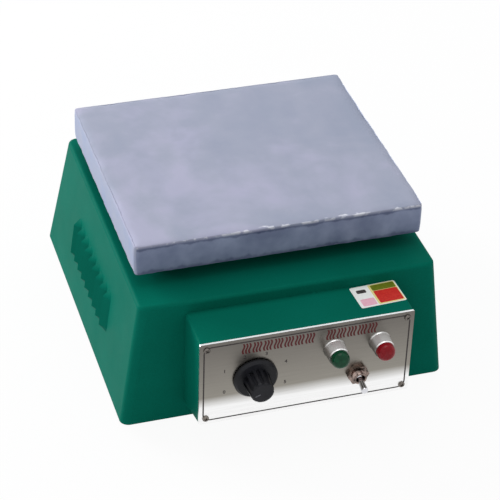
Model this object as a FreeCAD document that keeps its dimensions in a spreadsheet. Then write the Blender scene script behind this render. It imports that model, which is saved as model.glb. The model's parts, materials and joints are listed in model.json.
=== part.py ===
"""Laboratory hot plate: a cast plate on a tapered sheet casing with a control box on its front.

Millimetres, +Z up, the front faces -Y. The origin is the centre of the footprint at bench level.
"""
import FreeCAD
import Part

import math
import operator
import os

import Sketcher
from FreeCAD import Placement, Rotation, Vector

# Driving sizes, in millimetres and degrees
DRIVING = {
    # Hot plate and its studs
    "plate_width": 254.0,
    "plate_depth": 227.0,
    "plate_height": 28.7,
    "plate_top": 14.0,
    "plate_rim": 10.0,
    "plate_corner": 3.0,
    "plate_edge": 1.2,
    "plate_gap": 13.1,
    "plate_setback": 29.0,
    "stud_radius": 4.0,
    "stud_across": 200.0,
    "stud_along": 170.0,
    "stud_grip": 15.0,
    "boss_radius": 10.0,
    "spacer_radius": 7.0,
    # Casing
    "casing_height": 121.5,
    "casing_top_width": 260.5,
    "casing_bottom_width": 293.0,
    "casing_top_depth": 271.0,
    "casing_bottom_depth": 298.5,
    "casing_corner": 8.0,
    "casing_bend": 3.5,
    "casing_sheet": 1.5,
    "casing_flange": 14.0,
    "well_width": 176.0,
    "well_depth": 146.0,
    "well_corner": 10.0,
    # Louvres
    "louvre_count": 9.0,
    "louvre_pitch": 14.0,
    "louvre_first": 76.0,
    "louvre_low": 40.0,
    "louvre_length": 42.0,
    "louvre_width": 9.0,
    "louvre_out": 5.4,
    "louvre_end": 6.0,
    "louvre_lip": 0.2,
    # Control box
    "box_width": 186.0,
    "box_shift": 1.7,
    "box_reach": 45.0,
    "box_drop": 11.0,
    "box_low": 14.5,
    "box_bend": 2.5,
    "box_flange": 10.0,
    "panel_height": 84.0,
    "panel_sheet": 2.0,
    "panel_corner": 1.5,
    "screw_inset": 6.0,
    # Regulator and its knob
    "knob_inset": 48.0,
    "knob_y": 0.0,
    "knob_radius": 19.0,
    "knob_skirt": 4.0,
    "knob_height": 21.5,
    "knob_grip_radius": 10.0,
    "knob_taper": 1.5,
    "knob_clear": 1.0,
    "knob_flutes": 12.0,
    "knob_flute_radius": 1.6,
    "shaft_radius": 3.0,
    "shaft_flat": 0.8,
    "regulator_size": 44.0,
    "regulator_depth": 28.0,
    "regulator_neck": 5.0,
    "regulator_neck_out": 4.0,
    "regulator_across": 14.0,
    "regulator_nut": 2.4,
    "shaft_out": 17.0,
    "knob_hollow": 5.0,
    "knob_rim": 1.6,
    "knob_chamfer": 2.0,
    "knob_round": 2.2,
    "grub_out": 9.95,
    # Lamps
    "lamp_spacing": 40.0,
    "lamp_inset": 29.4,
    "lamp_y": 16.0,
    "bezel_radius": 8.8,
    "bezel_height": 13.0,
    "bezel_rim": 0.9,
    "bezel_taper": 0.5,
    "lens_height": 8.0,
    "lens_dome": 5.0,
    "lamp_neck": 6.0,
    "lamp_core": 5.0,
    "lamp_collar": 0.9,
    "lamp_across": 16.8,
    "lamp_nut": 2.5,
    "lamp_depth": 24.0,
    # Toggle switch
    "toggle_inset": 47.5,
    "toggle_y": -14.5,
    "toggle_width": 18.0,
    "toggle_length": 30.0,
    "toggle_depth": 20.0,
    "toggle_neck": 6.0,
    "toggle_neck_out": 9.0,
    "thread_pitch": 0.9,
    "thread_depth": 0.35,
    "thread_turns": 4.0,
    "toggle_nut_across": 17.0,
    "toggle_nut_height": 3.0,
    "toggle_washer_radius": 9.0,
    "toggle_washer_sheet": 1.0,
    "lever_ball": 3.8,
    "lever_length": 19.0,
    "lever_root": 1.9,
    "lever_tip": 3.1,
    "lever_depth": 5.32,
    "lever_tilt": 14.0,
    # Heating element and its clamps
    "element_radius": 4.0,
    "element_loops": 3.0,
    "element_pitch": 22.0,
    "element_run": 144.0,
    "element_leg_x": -60.0,
    "element_leg_bend": 12.0,
    "element_tail": 12.0,
    "clamp_across": 70.0,
    "clamp_along": 140.0,
    "clamp_width": 16.0,
    "clamp_thickness": 3.0,
    "post_radius": 7.0,
    # Heat shield and insulation
    "shield_sheet": 1.0,
    "shield_lip": 10.0,
    "shield_depth": 16.0,
    "pad_thickness": 12.0,
    "bush_radius": 6.0,
    "bush_head": 8.5,
    # Base plate, feet and what stands on the base plate
    "base_sheet": 1.5,
    "base_inset": 4.0,
    "base_screw_inset": 8.0,
    "vent_count": 7.0,
    "vent_pitch": 14.0,
    "vent_length": 90.0,
    "vent_width": 5.0,
    "foot_height": 7.0,
    "foot_radius": 11.0,
    "foot_taper": 1.5,
    "foot_inset": 34.0,
    "foot_recess": 3.8,
    "block_length": 60.0,
    "block_width": 22.0,
    "block_height": 18.0,
    "block_step": 9.0,
    "block_pitch": 15.0,
    "block_x": -85.0,
    "block_y": 60.0,
    "earth_x": 40.0,
    "earth_y": 100.0,
    "earth_height": 17.5,
    # Mains inlet
    "inlet_x": 70.0,
    "inlet_rise": 50.0,
    "inlet_flange_width": 50.0,
    "inlet_flange_height": 24.0,
    "inlet_flange": 3.0,
    "inlet_body_width": 27.0,
    "inlet_body_height": 19.5,
    "inlet_depth": 22.0,
    "inlet_wall": 1.8,
    "inlet_socket": 17.0,
    "inlet_screw_spacing": 40.0,
    "inlet_key": 4.8,
    "pin_spacing": 7.0,
    "pin_stagger": 2.0,
    "pin_sheet": 2.0,
    "pin_width": 4.0,
    "pin_tail": 7.0,
    "pin_length": 12.0,
    # Small fasteners
    "m3_radius": 1.5,
    "m4_radius": 2.0,
    "m5_radius": 2.5,
    "m4_across": 7.0,
    "m4_nut": 3.2,
    "m5_across": 8.0,
    "m5_nut": 4.0,
    "stud_nut_across": 13.0,
    "stud_nut": 6.4,
    "screw_reach": 3.0,
    "tag_width": 4.8,
    "tag_sheet": 0.8,
    "tag_length": 7.0,
    # Clearances
    "free_fit": 0.2,
    "thread_fit": 0.05,
    "seat_gap": 0.1,
    "slide_gap": 0.3,
}


class Size:
    """A length or an angle: its value now and the sheet formula that keeps it."""

    def __init__(self, value, formula):
        self.value = float(value)
        self.formula = formula

    def __add__(self, other):
        return combined(self, "+", other)

    def __radd__(self, other):
        return combined(other, "+", self)

    def __sub__(self, other):
        return combined(self, "-", other)

    def __rsub__(self, other):
        return combined(other, "-", self)

    def __mul__(self, other):
        return combined(self, "*", other)

    def __rmul__(self, other):
        return combined(other, "*", self)

    def __truediv__(self, other):
        return combined(self, "/", other)

    def __neg__(self):
        return combined(0, "-", self)


SIGNS = {"+": operator.add, "-": operator.sub, "*": operator.mul, "/": operator.truediv}


def number(item):
    """The value of a size or of a plain number."""
    return item.value if isinstance(item, Size) else float(item)


def words(item):
    """The sheet formula of a size or of a plain number."""
    return item.formula if isinstance(item, Size) else repr(float(item))


def combined(left, sign, right):
    """The size that one sum, difference, product or quotient gives."""
    value = SIGNS[sign](number(left), number(right))
    return Size(value, f"({words(left)} {sign} {words(right)})")


def slope_angle(run, rise):
    """The angle in degrees of a slope that goes run sideways in rise."""
    angle = math.degrees(math.atan2(number(run), number(rise)))
    return Size(angle, f"(atan({words(run)} / {words(rise)}) / 1deg)")


def cosine(angle):
    """The cosine of an angle in degrees."""
    return Size(math.cos(math.radians(number(angle))), f"cos({words(angle)})")


def sine(angle):
    """The sine of an angle in degrees."""
    return Size(math.sin(math.radians(number(angle))), f"sin({words(angle)})")


doc = FreeCAD.newDocument("HotPlate")
sheet = doc.addObject("Spreadsheet::Sheet", "Sizes")
for row, (alias, size) in enumerate(DRIVING.items(), 1):
    sheet.set(f"A{row}", alias)
    sheet.set(f"B{row}", str(size))
    sheet.setAlias(f"B{row}", alias)
doc.recompute()


class Sizes:
    """Every driving size by its name."""


s = Sizes()
for alias, size in DRIVING.items():
    setattr(s, alias, Size(size, f"Sizes.{alias}"))

# Shapes of standard pieces, and how close two numbers count as equal
HEX_CORNER = 1 / math.sqrt(3)
HEAD_RADIUS = 1.9
HEAD_HEIGHT = 1.3
HEAD_CROWN = 0.7
SAME = 0.01

# Levels and places worked out from the driving sizes
casing_z = s.foot_height + s.base_sheet
casing_top_z = casing_z + s.casing_height
ceiling_z = casing_top_z - s.casing_sheet
plate_z = casing_top_z + s.plate_gap
plate_recess = s.plate_height - s.plate_top
lens_out = s.bezel_height + s.lens_height
front_y = lens_out + s.box_reach - (lens_out + s.box_reach + s.casing_bottom_depth) / 2
plate_y = front_y + s.plate_setback + s.plate_depth / 2
side_lean = (s.casing_bottom_width - s.casing_top_width) / 2 / s.casing_height
rear_lean = (s.casing_bottom_depth - s.casing_top_depth) / s.casing_height
rear_angle = slope_angle(s.casing_bottom_depth - s.casing_top_depth, s.casing_height)
box_top_z = casing_top_z - s.box_drop
panel_y = front_y - s.box_reach
panel_z = box_top_z - s.panel_height / 2
seat_y = panel_y + s.panel_sheet
element_z = plate_z + plate_recess - s.seat_gap - s.element_radius
post_height = 2 * s.element_radius + 2 * s.seat_gap
shield_floor_z = ceiling_z - s.shield_depth
stud_places = [(sx * s.stud_across / 2, plate_y + sy * s.stud_along / 2) for sx in (-1, 1) for sy in (-1, 1)]
clamp_places = [
    (sx * s.clamp_across / 2, plate_y + sy * s.clamp_along / 2)
    for sx in (-1, 1) for sy in (-1, 1)
]
leg_ys = [plate_y + side * s.element_pitch * (2 * s.element_loops - 1) / 2 for side in (-1, 1)]
box_low_z = casing_z + s.box_low
panel_low_z = box_top_z - s.panel_height
box_rise = (panel_low_z - box_low_z) / (front_y - seat_y)
box_rise_angle = slope_angle(panel_low_z - box_low_z, front_y - seat_y)
box_screw_x = s.box_width / 2 - s.screw_inset
box_screw_places = [
    (s.box_shift + sx * box_screw_x, z)
    for sx in (-1, 1) for z in (box_low_z + 2 * s.box_flange, box_top_z - 2 * s.box_flange)
]
panel_screw_y = s.panel_height / 2 - s.screw_inset
panel_screw_places = [(sx * box_screw_x, sy * panel_screw_y) for sx in (-1, 1) for sy in (-1, 1)]
rear_y = front_y + s.casing_bottom_depth
middle_y = front_y + s.casing_bottom_depth / 2
foot_x = s.casing_bottom_width / 2 - s.foot_inset
foot_places = [(sx * foot_x, y) for y in (front_y + s.foot_inset, rear_y - s.foot_inset) for sx in (-1, 1)]
FOOT_NAMES = ["foot_front_left", "foot_front_right", "foot_rear_left", "foot_rear_right"]
lip_x = s.casing_bottom_width / 2 - s.base_screw_inset
lip_ys = (front_y + s.foot_inset, middle_y, rear_y - s.foot_inset)
base_screw_places = [(sx * lip_x, y) for sx in (-1, 1) for y in lip_ys]
block_screw_reach = (s.block_length - s.block_pitch) / 2 + s.m4_radius
block_screw_places = [(s.block_x + sx * block_screw_reach, s.block_y) for sx in (-1, 1)]
pin_places = [(-s.pin_spacing, s.pin_stagger), (0.0, -s.pin_stagger), (s.pin_spacing, s.pin_stagger)]
lever_pivot_out = s.toggle_neck_out - s.lever_depth
knob_x = s.knob_inset - s.box_width / 2
lamp_x = s.box_width / 2 - s.lamp_inset - s.lamp_spacing / 2
toggle_x = s.box_width / 2 - s.toggle_inset
louvre_start = front_y + s.louvre_first


def half_width_at(height):
    """Half the outer width of the casing at a height above its bottom edge."""
    return s.casing_bottom_width / 2 - side_lean * height


def rear_at(height):
    """The y of the rear wall's outer face at a height above the casing's bottom edge."""
    return front_y + s.casing_bottom_depth - rear_lean * height


def bind(feature, path, size):
    """Ties one property of an object to the sheet."""
    feature.setExpression(path, words(size))


def place(piece, x, y, z, turn=0.0):
    """Puts a piece at its place, turned about X by an angle."""
    spot, lean = Vector(number(x), number(y), number(z)), Rotation(Vector(1, 0, 0), number(turn))
    piece.Placement = Placement(spot, lean)
    for axis, distance in zip("xyz", (x, y, z)):
        bind(piece, f"Placement.Base.{axis}", distance)
    if isinstance(turn, Size):
        bind(piece, "Placement.Rotation.Angle", turn)
    return piece


def place_on_panel(piece, x, y):
    """Puts a piece on the panel's face, its own Z pointing out of the panel and its own Y up."""
    return place(piece, s.box_shift + x, panel_y, panel_z + y, 90.0)


def new_body(name):
    """An empty body that has its label."""
    body = doc.addObject("PartDesign::Body", name)
    body.Label = name
    return body


class Outline:
    """A sketch on one of its body's own planes, with every point tied to the sheet."""

    def __init__(self, body, plane="XY_Plane", offset=0.0):
        self.body = body
        self.sketch = body.newObject("Sketcher::SketchObject", f"{body.Name}_outline")
        origin = [item for item in body.Origin.OriginFeatures if item.Role == plane][0]
        self.sketch.AttachmentSupport = [(origin, "")]
        self.sketch.MapMode = "FlatFace"
        self.sketch.AttachmentOffset = Placement(Vector(0, 0, number(offset)), Rotation())
        bind(self.sketch, "AttachmentOffset.Base.z", offset)

    def hold(self, kind, *where, size):
        """Adds one dimension and ties it to the sheet."""
        index = self.sketch.addConstraint(Sketcher.Constraint(kind, *where, number(size)))
        self.sketch.setExpression(f"Constraints[{index}]", words(size))

    def pin(self, curve, point, x, y):
        """Holds a point of a curve at its distances from the sketch's origin."""
        self.hold("DistanceX", -1, 1, curve, point, size=x)
        self.hold("DistanceY", -1, 1, curve, point, size=y)

    def line(self, start, end):
        """Adds a straight edge and gives its number."""
        ends = [Vector(number(x), number(y), 0) for x, y in (start, end)]
        return self.sketch.addGeometry(Part.LineSegment(*ends), False)

    def join(self, first, second):
        """Joins the end of one curve to the start of the next."""
        self.sketch.addConstraint(Sketcher.Constraint("Coincident", first, 2, second, 1))

    def polygon(self, points):
        """A closed outline of straight edges."""
        edges = [self.line(points[i], points[(i + 1) % len(points)]) for i in range(len(points))]
        for i, edge in enumerate(edges):
            self.pin(edge, 1, *points[i])
        for i, edge in enumerate(edges):
            self.join(edge, edges[(i + 1) % len(edges)])
        return self

    def rectangle(self, x, y, width, depth):
        """A rectangle about a centre."""
        left, right = x - width / 2, x + width / 2
        low, high = y - depth / 2, y + depth / 2
        return self.polygon([(left, low), (right, low), (right, high), (left, high)])

    def rounded(self, left, low, right, high, radius):
        """A rectangle between its edges, with round corners."""
        sides = [
            ((left + radius, low), (right - radius, low)),
            ((right, low + radius), (right, high - radius)),
            ((right - radius, high), (left + radius, high)),
            ((left, high - radius), (left, low + radius)),
        ]
        centres = [
            (right - radius, low + radius),
            (right - radius, high - radius),
            (left + radius, high - radius),
            (left + radius, low + radius),
        ]
        edges = [self.line(*side) for side in sides]
        for edge, (start, end) in zip(edges, sides):
            self.pin(edge, 1, *start)
            self.pin(edge, 2, *end)
        for i, (x, y) in enumerate(centres):
            circle = Part.Circle(Vector(number(x), number(y), 0), Vector(0, 0, 1), number(radius))
            start = math.radians(90 * i - 90)
            arc = self.sketch.addGeometry(Part.ArcOfCircle(circle, start, start + math.pi / 2), False)
            self.sketch.addConstraint(Sketcher.Constraint("Coincident", edges[i], 2, arc, 1))
            self.sketch.addConstraint(Sketcher.Constraint("Coincident", arc, 2, edges[(i + 1) % 4], 1))
            self.hold("Radius", arc, size=radius)
        return self

    def rounded_about(self, x, y, width, depth, radius):
        """A rectangle about a centre, with round corners."""
        return self.rounded(x - width / 2, y - depth / 2, x + width / 2, y + depth / 2, radius)

    def circle(self, x, y, radius):
        """A full circle."""
        centre = Vector(number(x), number(y), 0)
        curve = self.sketch.addGeometry(Part.Circle(centre, Vector(0, 0, 1), number(radius)), False)
        self.pin(curve, 3, x, y)
        self.hold("Radius", curve, size=radius)
        return self

    def feature(self, kind):
        """Starts the feature that uses this outline."""
        feature = self.body.newObject(f"PartDesign::{kind}", f"{self.body.Name}_{kind.lower()}")
        feature.Profile = self.sketch
        self.sketch.Visibility = False
        return feature

    def raised(self, height):
        """Adds metal from the outline's plane along its normal."""
        feature = self.feature("Pad")
        bind(feature, "Length", height)
        doc.recompute()
        return feature

    def raised_back(self, height):
        """Adds metal from the outline's plane against its normal."""
        feature = self.raised(height)
        feature.Reversed = True
        doc.recompute()
        return feature

    def sunk(self, depth, forward=False):
        """Cuts from the outline's plane against its normal, or along it."""
        before = self.body.Shape.Volume
        feature = self.feature("Pocket")
        feature.Reversed = forward
        bind(feature, "Length", depth)
        doc.recompute()
        cut_something(self.body, before)
        return feature


def cut_something(body, before):
    """Stops the build where a cut has missed its piece."""
    if body.Shape.Volume > before - 0.001:
        raise RuntimeError(f"a cut in {body.Label} removes nothing")


def lofted(body, kind, outlines):
    """A straight-sided loft through outlines, added to the body or cut from it."""
    before = body.Shape.Volume if kind == "SubtractiveLoft" else None
    feature = outlines[0].feature(kind)
    feature.Sections = [(outline.sketch, [""]) for outline in outlines[1:]]
    feature.Ruled = True
    doc.recompute()
    if before is not None:
        cut_something(body, before)
    return feature


def rounded_edges(body, radius, chosen):
    """Rounds every edge that the test picks."""
    doc.recompute()
    base = body.Tip
    names = [f"Edge{i}" for i, edge in enumerate(base.Shape.Edges, 1) if chosen(spans_of(edge))]
    if not names:
        raise RuntimeError(f"no edge of {body.Label} to round")
    feature = body.newObject("PartDesign::Fillet", f"{body.Name}_bend")
    feature.Base = (base, names)
    bind(feature, "Radius", radius)
    doc.recompute()
    return feature


def spans_of(edge):
    """The least and greatest x, y and z of an edge's ends."""
    places = [(point.X, point.Y, point.Z) for point in edge.Vertexes]
    return [(min(values), max(values)) for values in zip(*places)]


def level_at(height):
    """A test that picks the edges that lie at one height."""
    level = number(height)
    return lambda spans: all(abs(end - level) < SAME for end in spans[2])


def climbing(low, height):
    """A test that picks the edges that climb from a level through most of a height."""
    start, least = number(low), number(height) * 0.8
    return lambda spans: abs(spans[2][0] - start) < SAME and spans[2][1] - spans[2][0] > least


def lengthwise(spans):
    """A test that picks the edges that run to the front and keep their x."""
    return spans[0][1] - spans[0][0] < SAME and spans[1][1] - spans[1][0] > 1.0


def turned(name, profile):
    """A piece turned about its own Z from a closed profile of (radius, height) points."""
    body = new_body(name)
    feature = Outline(body, "XZ_Plane").polygon(profile).feature("Revolution")
    feature.ReferenceAxis = (feature.Profile[0], ["V_Axis"])
    feature.Angle = 360
    doc.recompute()
    return body


def ring(name, inner, outer, low, high):
    """A turned ring or tube."""
    return turned(name, [(inner, low), (outer, low), (outer, high), (inner, high)])


def screw(name, radius, length):
    """A pan-head screw whose shank hangs below its own origin and whose head stands above it."""
    head, height = radius * HEAD_RADIUS, radius * HEAD_HEIGHT
    profile = [(0.0, -length), (radius, -length), (radius, 0.0), (head, 0.0)]
    profile += [(head, height / 2), (head * HEAD_CROWN, height), (0.0, height)]
    return turned(name, profile)


def nut(name, bore, across, height):
    """A hexagon nut that stands on its own origin."""
    prism = doc.addObject("Part::Prism", f"{name}_hexagon")
    prism.Polygon = 6
    bind(prism, "Circumradius", across * HEX_CORNER)
    bind(prism, "Height", height)
    hole = doc.addObject("Part::Cylinder", f"{name}_hole")
    bind(hole, "Radius", bore)
    bind(hole, "Height", height)
    cut = doc.addObject("Part::Cut", name)
    cut.Label = name
    cut.Base = prism
    cut.Tool = hole
    return cut


def group(name, members):
    """One node of several separate like pieces."""
    compound = doc.addObject("Part::Compound", name)
    compound.Label = name
    compound.Links = members
    return compound


# Cast hot plate
def make_top_plate():
    """The cast plate: a thick top, a rim, stud bosses and clamp posts in its underside."""
    body = new_body("top_plate")
    Outline(body).rounded_about(0.0, 0.0, s.plate_width, s.plate_depth, s.plate_corner).raised(s.plate_height)
    rounded_edges(body, s.plate_edge, level_at(s.plate_height))
    inner_width, inner_depth = s.plate_width - 2 * s.plate_rim, s.plate_depth - 2 * s.plate_rim
    recess = Outline(body).rounded_about(0.0, 0.0, inner_width, inner_depth, s.plate_rim)
    recess.sunk(plate_recess, forward=True)
    bosses = Outline(body)
    for x, y in stud_places:
        bosses.circle(x, y - plate_y, s.boss_radius)
    bosses.raised(plate_recess + s.seat_gap)
    posts = Outline(body, offset=plate_recess - post_height)
    for x, y in clamp_places:
        posts.circle(x, y - plate_y, s.post_radius)
    posts.raised(post_height + s.seat_gap)
    holes = Outline(body)
    for x, y in stud_places:
        holes.circle(x, y - plate_y, s.stud_radius + s.thread_fit)
    holes.sunk(s.stud_grip + s.free_fit, forward=True)
    taps = Outline(body)
    for x, y in clamp_places:
        taps.circle(x, y - plate_y, s.m5_radius + s.thread_fit)
    taps.sunk(plate_recess + s.plate_top / 3, forward=True)
    return place(body, 0.0, plate_y, plate_z)


def make_studs():
    """The four studs that carry the plate, with their spacers and nuts."""
    below = s.casing_sheet + s.shield_sheet + s.stud_nut + s.screw_reach
    spacers, studs, nuts = [], [], []
    for i, (x, y) in enumerate(stud_places, 1):
        spacer = ring(f"plate_spacer_{i}", s.stud_radius + s.free_fit, s.spacer_radius, 0.0, s.plate_gap)
        spacers.append(place(spacer, x, y, casing_top_z))
        stud = turned(f"plate_stud_{i}", [
            (0.0, -below), (s.stud_radius, -below),
            (s.stud_radius, s.plate_gap + s.stud_grip), (0.0, s.plate_gap + s.stud_grip),
        ])
        studs.append(place(stud, x, y, casing_top_z))
        piece = nut(f"stud_nut_{i}", s.stud_radius + s.thread_fit, s.stud_nut_across, s.stud_nut)
        nuts.append(place(piece, x, y, ceiling_z - s.shield_sheet - s.stud_nut))
    return [group("plate_spacers", spacers), group("plate_studs", studs), group("stud_nuts", nuts)]


# Heating element
def rounded_path(points, radii):
    """A wire of straight runs joined by a tangent arc at every inner point."""
    edges = []
    start = points[0]
    for before, corner, after, radius in zip(points, points[1:], points[2:], radii):
        back, ahead = (before - corner).normalize(), (after - corner).normalize()
        half = (math.pi - back.getAngle(ahead)) / 2
        reach = radius * math.tan(half)
        first, last = corner + back * reach, corner + ahead * reach
        middle = corner + (back + ahead).normalize() * (radius / math.cos(half) - radius)
        if (first - start).Length > SAME:
            edges.append(Part.LineSegment(start, first).toShape())
        edges.append(Part.Arc(first, middle, last).toShape())
        start = last
    edges.append(Part.LineSegment(start, points[-1]).toShape())
    return Part.Wire(edges)


def make_heating_element():
    """The tubular element: level runs joined by U bends, with a leg down at each end."""
    pitch, radius = s.element_pitch.value, s.element_radius.value
    level, leg_x = element_z.value, s.element_leg_x.value
    low = (shield_floor_z - s.shield_sheet - s.element_tail).value
    far = s.element_run.value / 2 + pitch / 2
    runs = 2 * int(s.element_loops.value)
    rows = [leg_ys[0].value + i * pitch for i in range(runs)]
    points = [Vector(leg_x, rows[0], low), Vector(leg_x, rows[0], level)]
    for i, (y, following) in enumerate(zip(rows, rows[1:])):
        x = far if i % 2 == 0 else -far
        points += [Vector(x, y, level), Vector(x, following, level)]
    points += [Vector(leg_x, rows[-1], level), Vector(leg_x, rows[-1], low)]
    bend = s.element_leg_bend.value
    path = rounded_path(points, [bend] + [pitch / 2] * (len(points) - 4) + [bend])
    section = Part.Wire(Part.makeCircle(radius, points[0], Vector(0, 0, 1)))
    element = doc.addObject("Part::Feature", "heating_element")
    element.Label = "heating_element"
    element.Shape = path.makePipeShell([section], True, False)
    return element


def make_clamps():
    """Two bars that hold the element up against the plate, and their screws."""
    pieces, screws = [], []
    bar_z = plate_z + plate_recess - post_height - s.clamp_thickness
    for side, name in ((-1, "clamp_bar_left"), (1, "clamp_bar_right")):
        body = new_body(name)
        length = s.clamp_along + 2 * s.post_radius
        Outline(body).rounded_about(0.0, 0.0, s.clamp_width, length, s.post_radius).raised(s.clamp_thickness)
        holes = Outline(body, offset=s.clamp_thickness)
        for end in (-1, 1):
            holes.circle(0.0, end * s.clamp_along / 2, s.m5_radius + s.free_fit)
        holes.sunk(s.clamp_thickness)
        pieces.append(place(body, side * s.clamp_across / 2, plate_y, bar_z))
    for i, (x, y) in enumerate(clamp_places, 1):
        piece = screw(f"clamp_screw_{i}", s.m5_radius, s.clamp_thickness + post_height)
        screws.append(place(piece, x, y, bar_z, 180.0))
    return pieces + [group("clamp_screws", screws)]


# Heat shield and insulation
def make_heat_shield():
    """The tray under the casing's opening: a flat lip that the studs clamp and a deep pan."""
    body = new_body("heat_shield")
    wide, deep = s.stud_across + 2 * s.shield_lip, s.stud_along + 2 * s.shield_lip
    Outline(body).rounded_about(0.0, 0.0, wide, deep, s.well_corner).raised_back(s.shield_sheet)
    pan = s.shield_depth + s.shield_sheet
    Outline(body, offset=-pan).rounded_about(0.0, 0.0, s.well_width, s.well_depth, s.well_corner).raised(pan)
    inner = s.well_corner - s.shield_sheet
    inside = Outline(body).rounded_about(
        0.0, 0.0, s.well_width - 2 * s.shield_sheet, s.well_depth - 2 * s.shield_sheet, inner)
    inside.sunk(s.shield_depth)
    holes = Outline(body)
    for x, y in stud_places:
        holes.circle(x, y - plate_y, s.stud_radius + s.free_fit)
    for y in leg_ys:
        holes.circle(s.element_leg_x, y - plate_y, s.bush_radius + s.free_fit)
    holes.sunk(pan)
    return place(body, 0.0, plate_y, ceiling_z)


def make_insulation_pad():
    """The fibre board that lies in the shield's pan."""
    body = new_body("insulation_pad")
    edge = s.shield_sheet + s.slide_gap
    pad = Outline(body).rounded_about(
        0.0, 0.0, s.well_width - 2 * edge, s.well_depth - 2 * edge, s.well_corner - edge)
    pad.raised(s.pad_thickness)
    holes = Outline(body, offset=s.pad_thickness)
    for y in leg_ys:
        holes.circle(s.element_leg_x, y - plate_y, s.bush_radius + s.free_fit)
    holes.sunk(s.pad_thickness)
    return place(body, 0.0, plate_y, shield_floor_z)


def make_element_bushes():
    """Two ceramic bushes that carry the element's legs through the shield."""
    bushes = []
    low = -(s.shield_sheet + s.bush_radius / 2)
    inner = s.element_radius + s.free_fit
    for i, y in enumerate(leg_ys, 1):
        profile = [
            (inner, low), (s.bush_head, low),
            (s.bush_head, -s.shield_sheet), (s.bush_radius, -s.shield_sheet),
            (s.bush_radius, s.pad_thickness), (inner, s.pad_thickness),
        ]
        bushes.append(place(turned(f"element_bush_{i}", profile), s.element_leg_x, y, shield_floor_z))
    return group("element_bushes", bushes)


# Casing
def casing_limits(height, inset):
    """The casing's left, front, right and rear at a height above its bottom edge, inset by a distance."""
    half = half_width_at(height) - inset
    return -half, front_y + inset, half, rear_at(height) - inset


def tapered_block(body):
    """The casing's outer form with sharp corners."""
    block = body.newObject("PartDesign::AdditiveWedge", f"{body.Name}_block")
    block.AttachmentSupport = [(datum_of(body, "XY_Plane"), "")]
    block.MapMode = "FlatFace"
    block.AttachmentOffset = Placement(Vector(0, 0, 0), Rotation(Vector(1, 0, 0), 90))
    left, front, right, rear = casing_limits(0.0, 0.0)
    top_left, top_front, top_right, top_rear = casing_limits(s.casing_height, 0.0)
    limits = {
        "Xmin": left, "Xmax": right, "Ymin": 0.0, "Ymax": s.casing_height, "Zmin": -rear, "Zmax": -front,
        "X2min": top_left, "X2max": top_right, "Z2min": -top_rear, "Z2max": -top_front,
    }
    for side, size in limits.items():
        bind(block, side, size)
    doc.recompute()


def hollowed(body, wall):
    """Turns a solid block into a shell that is open at its lowest face."""
    base = body.Tip
    faces = enumerate(base.Shape.Faces, 1)
    lowest = [f"Face{i}" for i, face in faces if all(abs(point.Z) < SAME for point in face.Vertexes)]
    shell = body.newObject("PartDesign::Thickness", f"{body.Name}_wall")
    shell.Base = (base, lowest)
    shell.Reversed = True
    bind(shell, "Value", wall)
    doc.recompute()


def louvre_section(body, side, height, out):
    """A louvre's outer wedge at a height: it rises from the wall towards the rear."""
    wall = half_width_at(height)
    end = louvre_start + s.louvre_width
    root = wall - s.casing_sheet / 2
    return Outline(body, offset=height).polygon([
        (side * root, louvre_start), (side * (wall + out), end), (side * root, end),
    ])


def louvre_space(body, side, height):
    """The space under a louvre at a height, open towards the rear and into the casing."""
    wall = half_width_at(height)
    end = louvre_start + s.louvre_width
    inside = s.casing_sheet + s.casing_sheet / 2
    start = end - (s.louvre_out - s.casing_sheet + inside) * s.louvre_width / s.louvre_out
    return Outline(body, offset=height).polygon([
        (side * (wall - inside), start), (side * (wall - inside), end),
        (side * (wall + s.louvre_out - s.casing_sheet), end),
    ])


def make_casing():
    """The painted sheet casing: tapered walls, a lip under it, a well in its top and louvred sides."""
    body = new_body("casing")
    tapered_block(body)
    rounded_edges(body, s.casing_corner, climbing(0.0, s.casing_height))
    rounded_edges(body, s.casing_bend, level_at(s.casing_height))
    hollowed(body, s.casing_sheet)
    lip = Outline(body).rounded(*casing_limits(0.0, s.casing_sheet / 2), s.casing_corner - s.casing_sheet / 2)
    lip.rounded(*casing_limits(0.0, s.casing_flange), s.casing_corner).raised(s.casing_sheet)
    well = Outline(body, offset=s.casing_height)
    well.rounded_about(0.0, plate_y, s.well_width, s.well_depth, s.well_corner)
    for x, y in stud_places:
        well.circle(x, y, s.stud_radius + s.free_fit)
    well.sunk(s.casing_sheet)
    taps = Outline(body, offset=s.casing_sheet)
    for x, y in base_screw_places:
        taps.circle(x, y, s.m4_radius + s.thread_fit)
    taps.sunk(s.casing_sheet)
    cut_box_window(body)
    cut_inlet_window(body)
    for side in (-1, 1):
        add_louvres(body, side)
    return place(body, 0.0, 0.0, casing_z)


def box_window(outline, floor):
    """The opening between the box and the casing, above a floor height."""
    half = s.box_width / 2 - s.box_flange
    low = box_low_z + s.box_flange - floor
    high = box_top_z - s.box_flange - floor
    return outline.rounded(s.box_shift - half, low, s.box_shift + half, high, s.box_bend)


def cut_box_window(body):
    """Opens the front wall into the control box and drills it for the box's screws."""
    window = box_window(Outline(body, "XZ_Plane", -front_y), casing_z)
    for x, z in box_screw_places:
        window.circle(x, z - casing_z, s.m4_radius + s.free_fit)
    window.sunk(s.casing_sheet)


def cut_inlet_window(body):
    """Opens the rear wall for the mains inlet and its screws."""
    window = Outline(body, "XZ_Plane", -(rear_y + s.casing_flange))
    width, height = s.inlet_body_width + 2 * s.slide_gap, s.inlet_body_height + 6 * s.slide_gap
    window.rectangle(s.inlet_x, s.inlet_rise, width, height)
    for side in (-1, 1):
        x = s.inlet_x + side * s.inlet_screw_spacing / 2
        window.circle(x, s.inlet_rise, s.m3_radius + s.slide_gap + s.free_fit)
    window.sunk(s.casing_flange + s.casing_bottom_depth / 4, forward=True)


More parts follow.
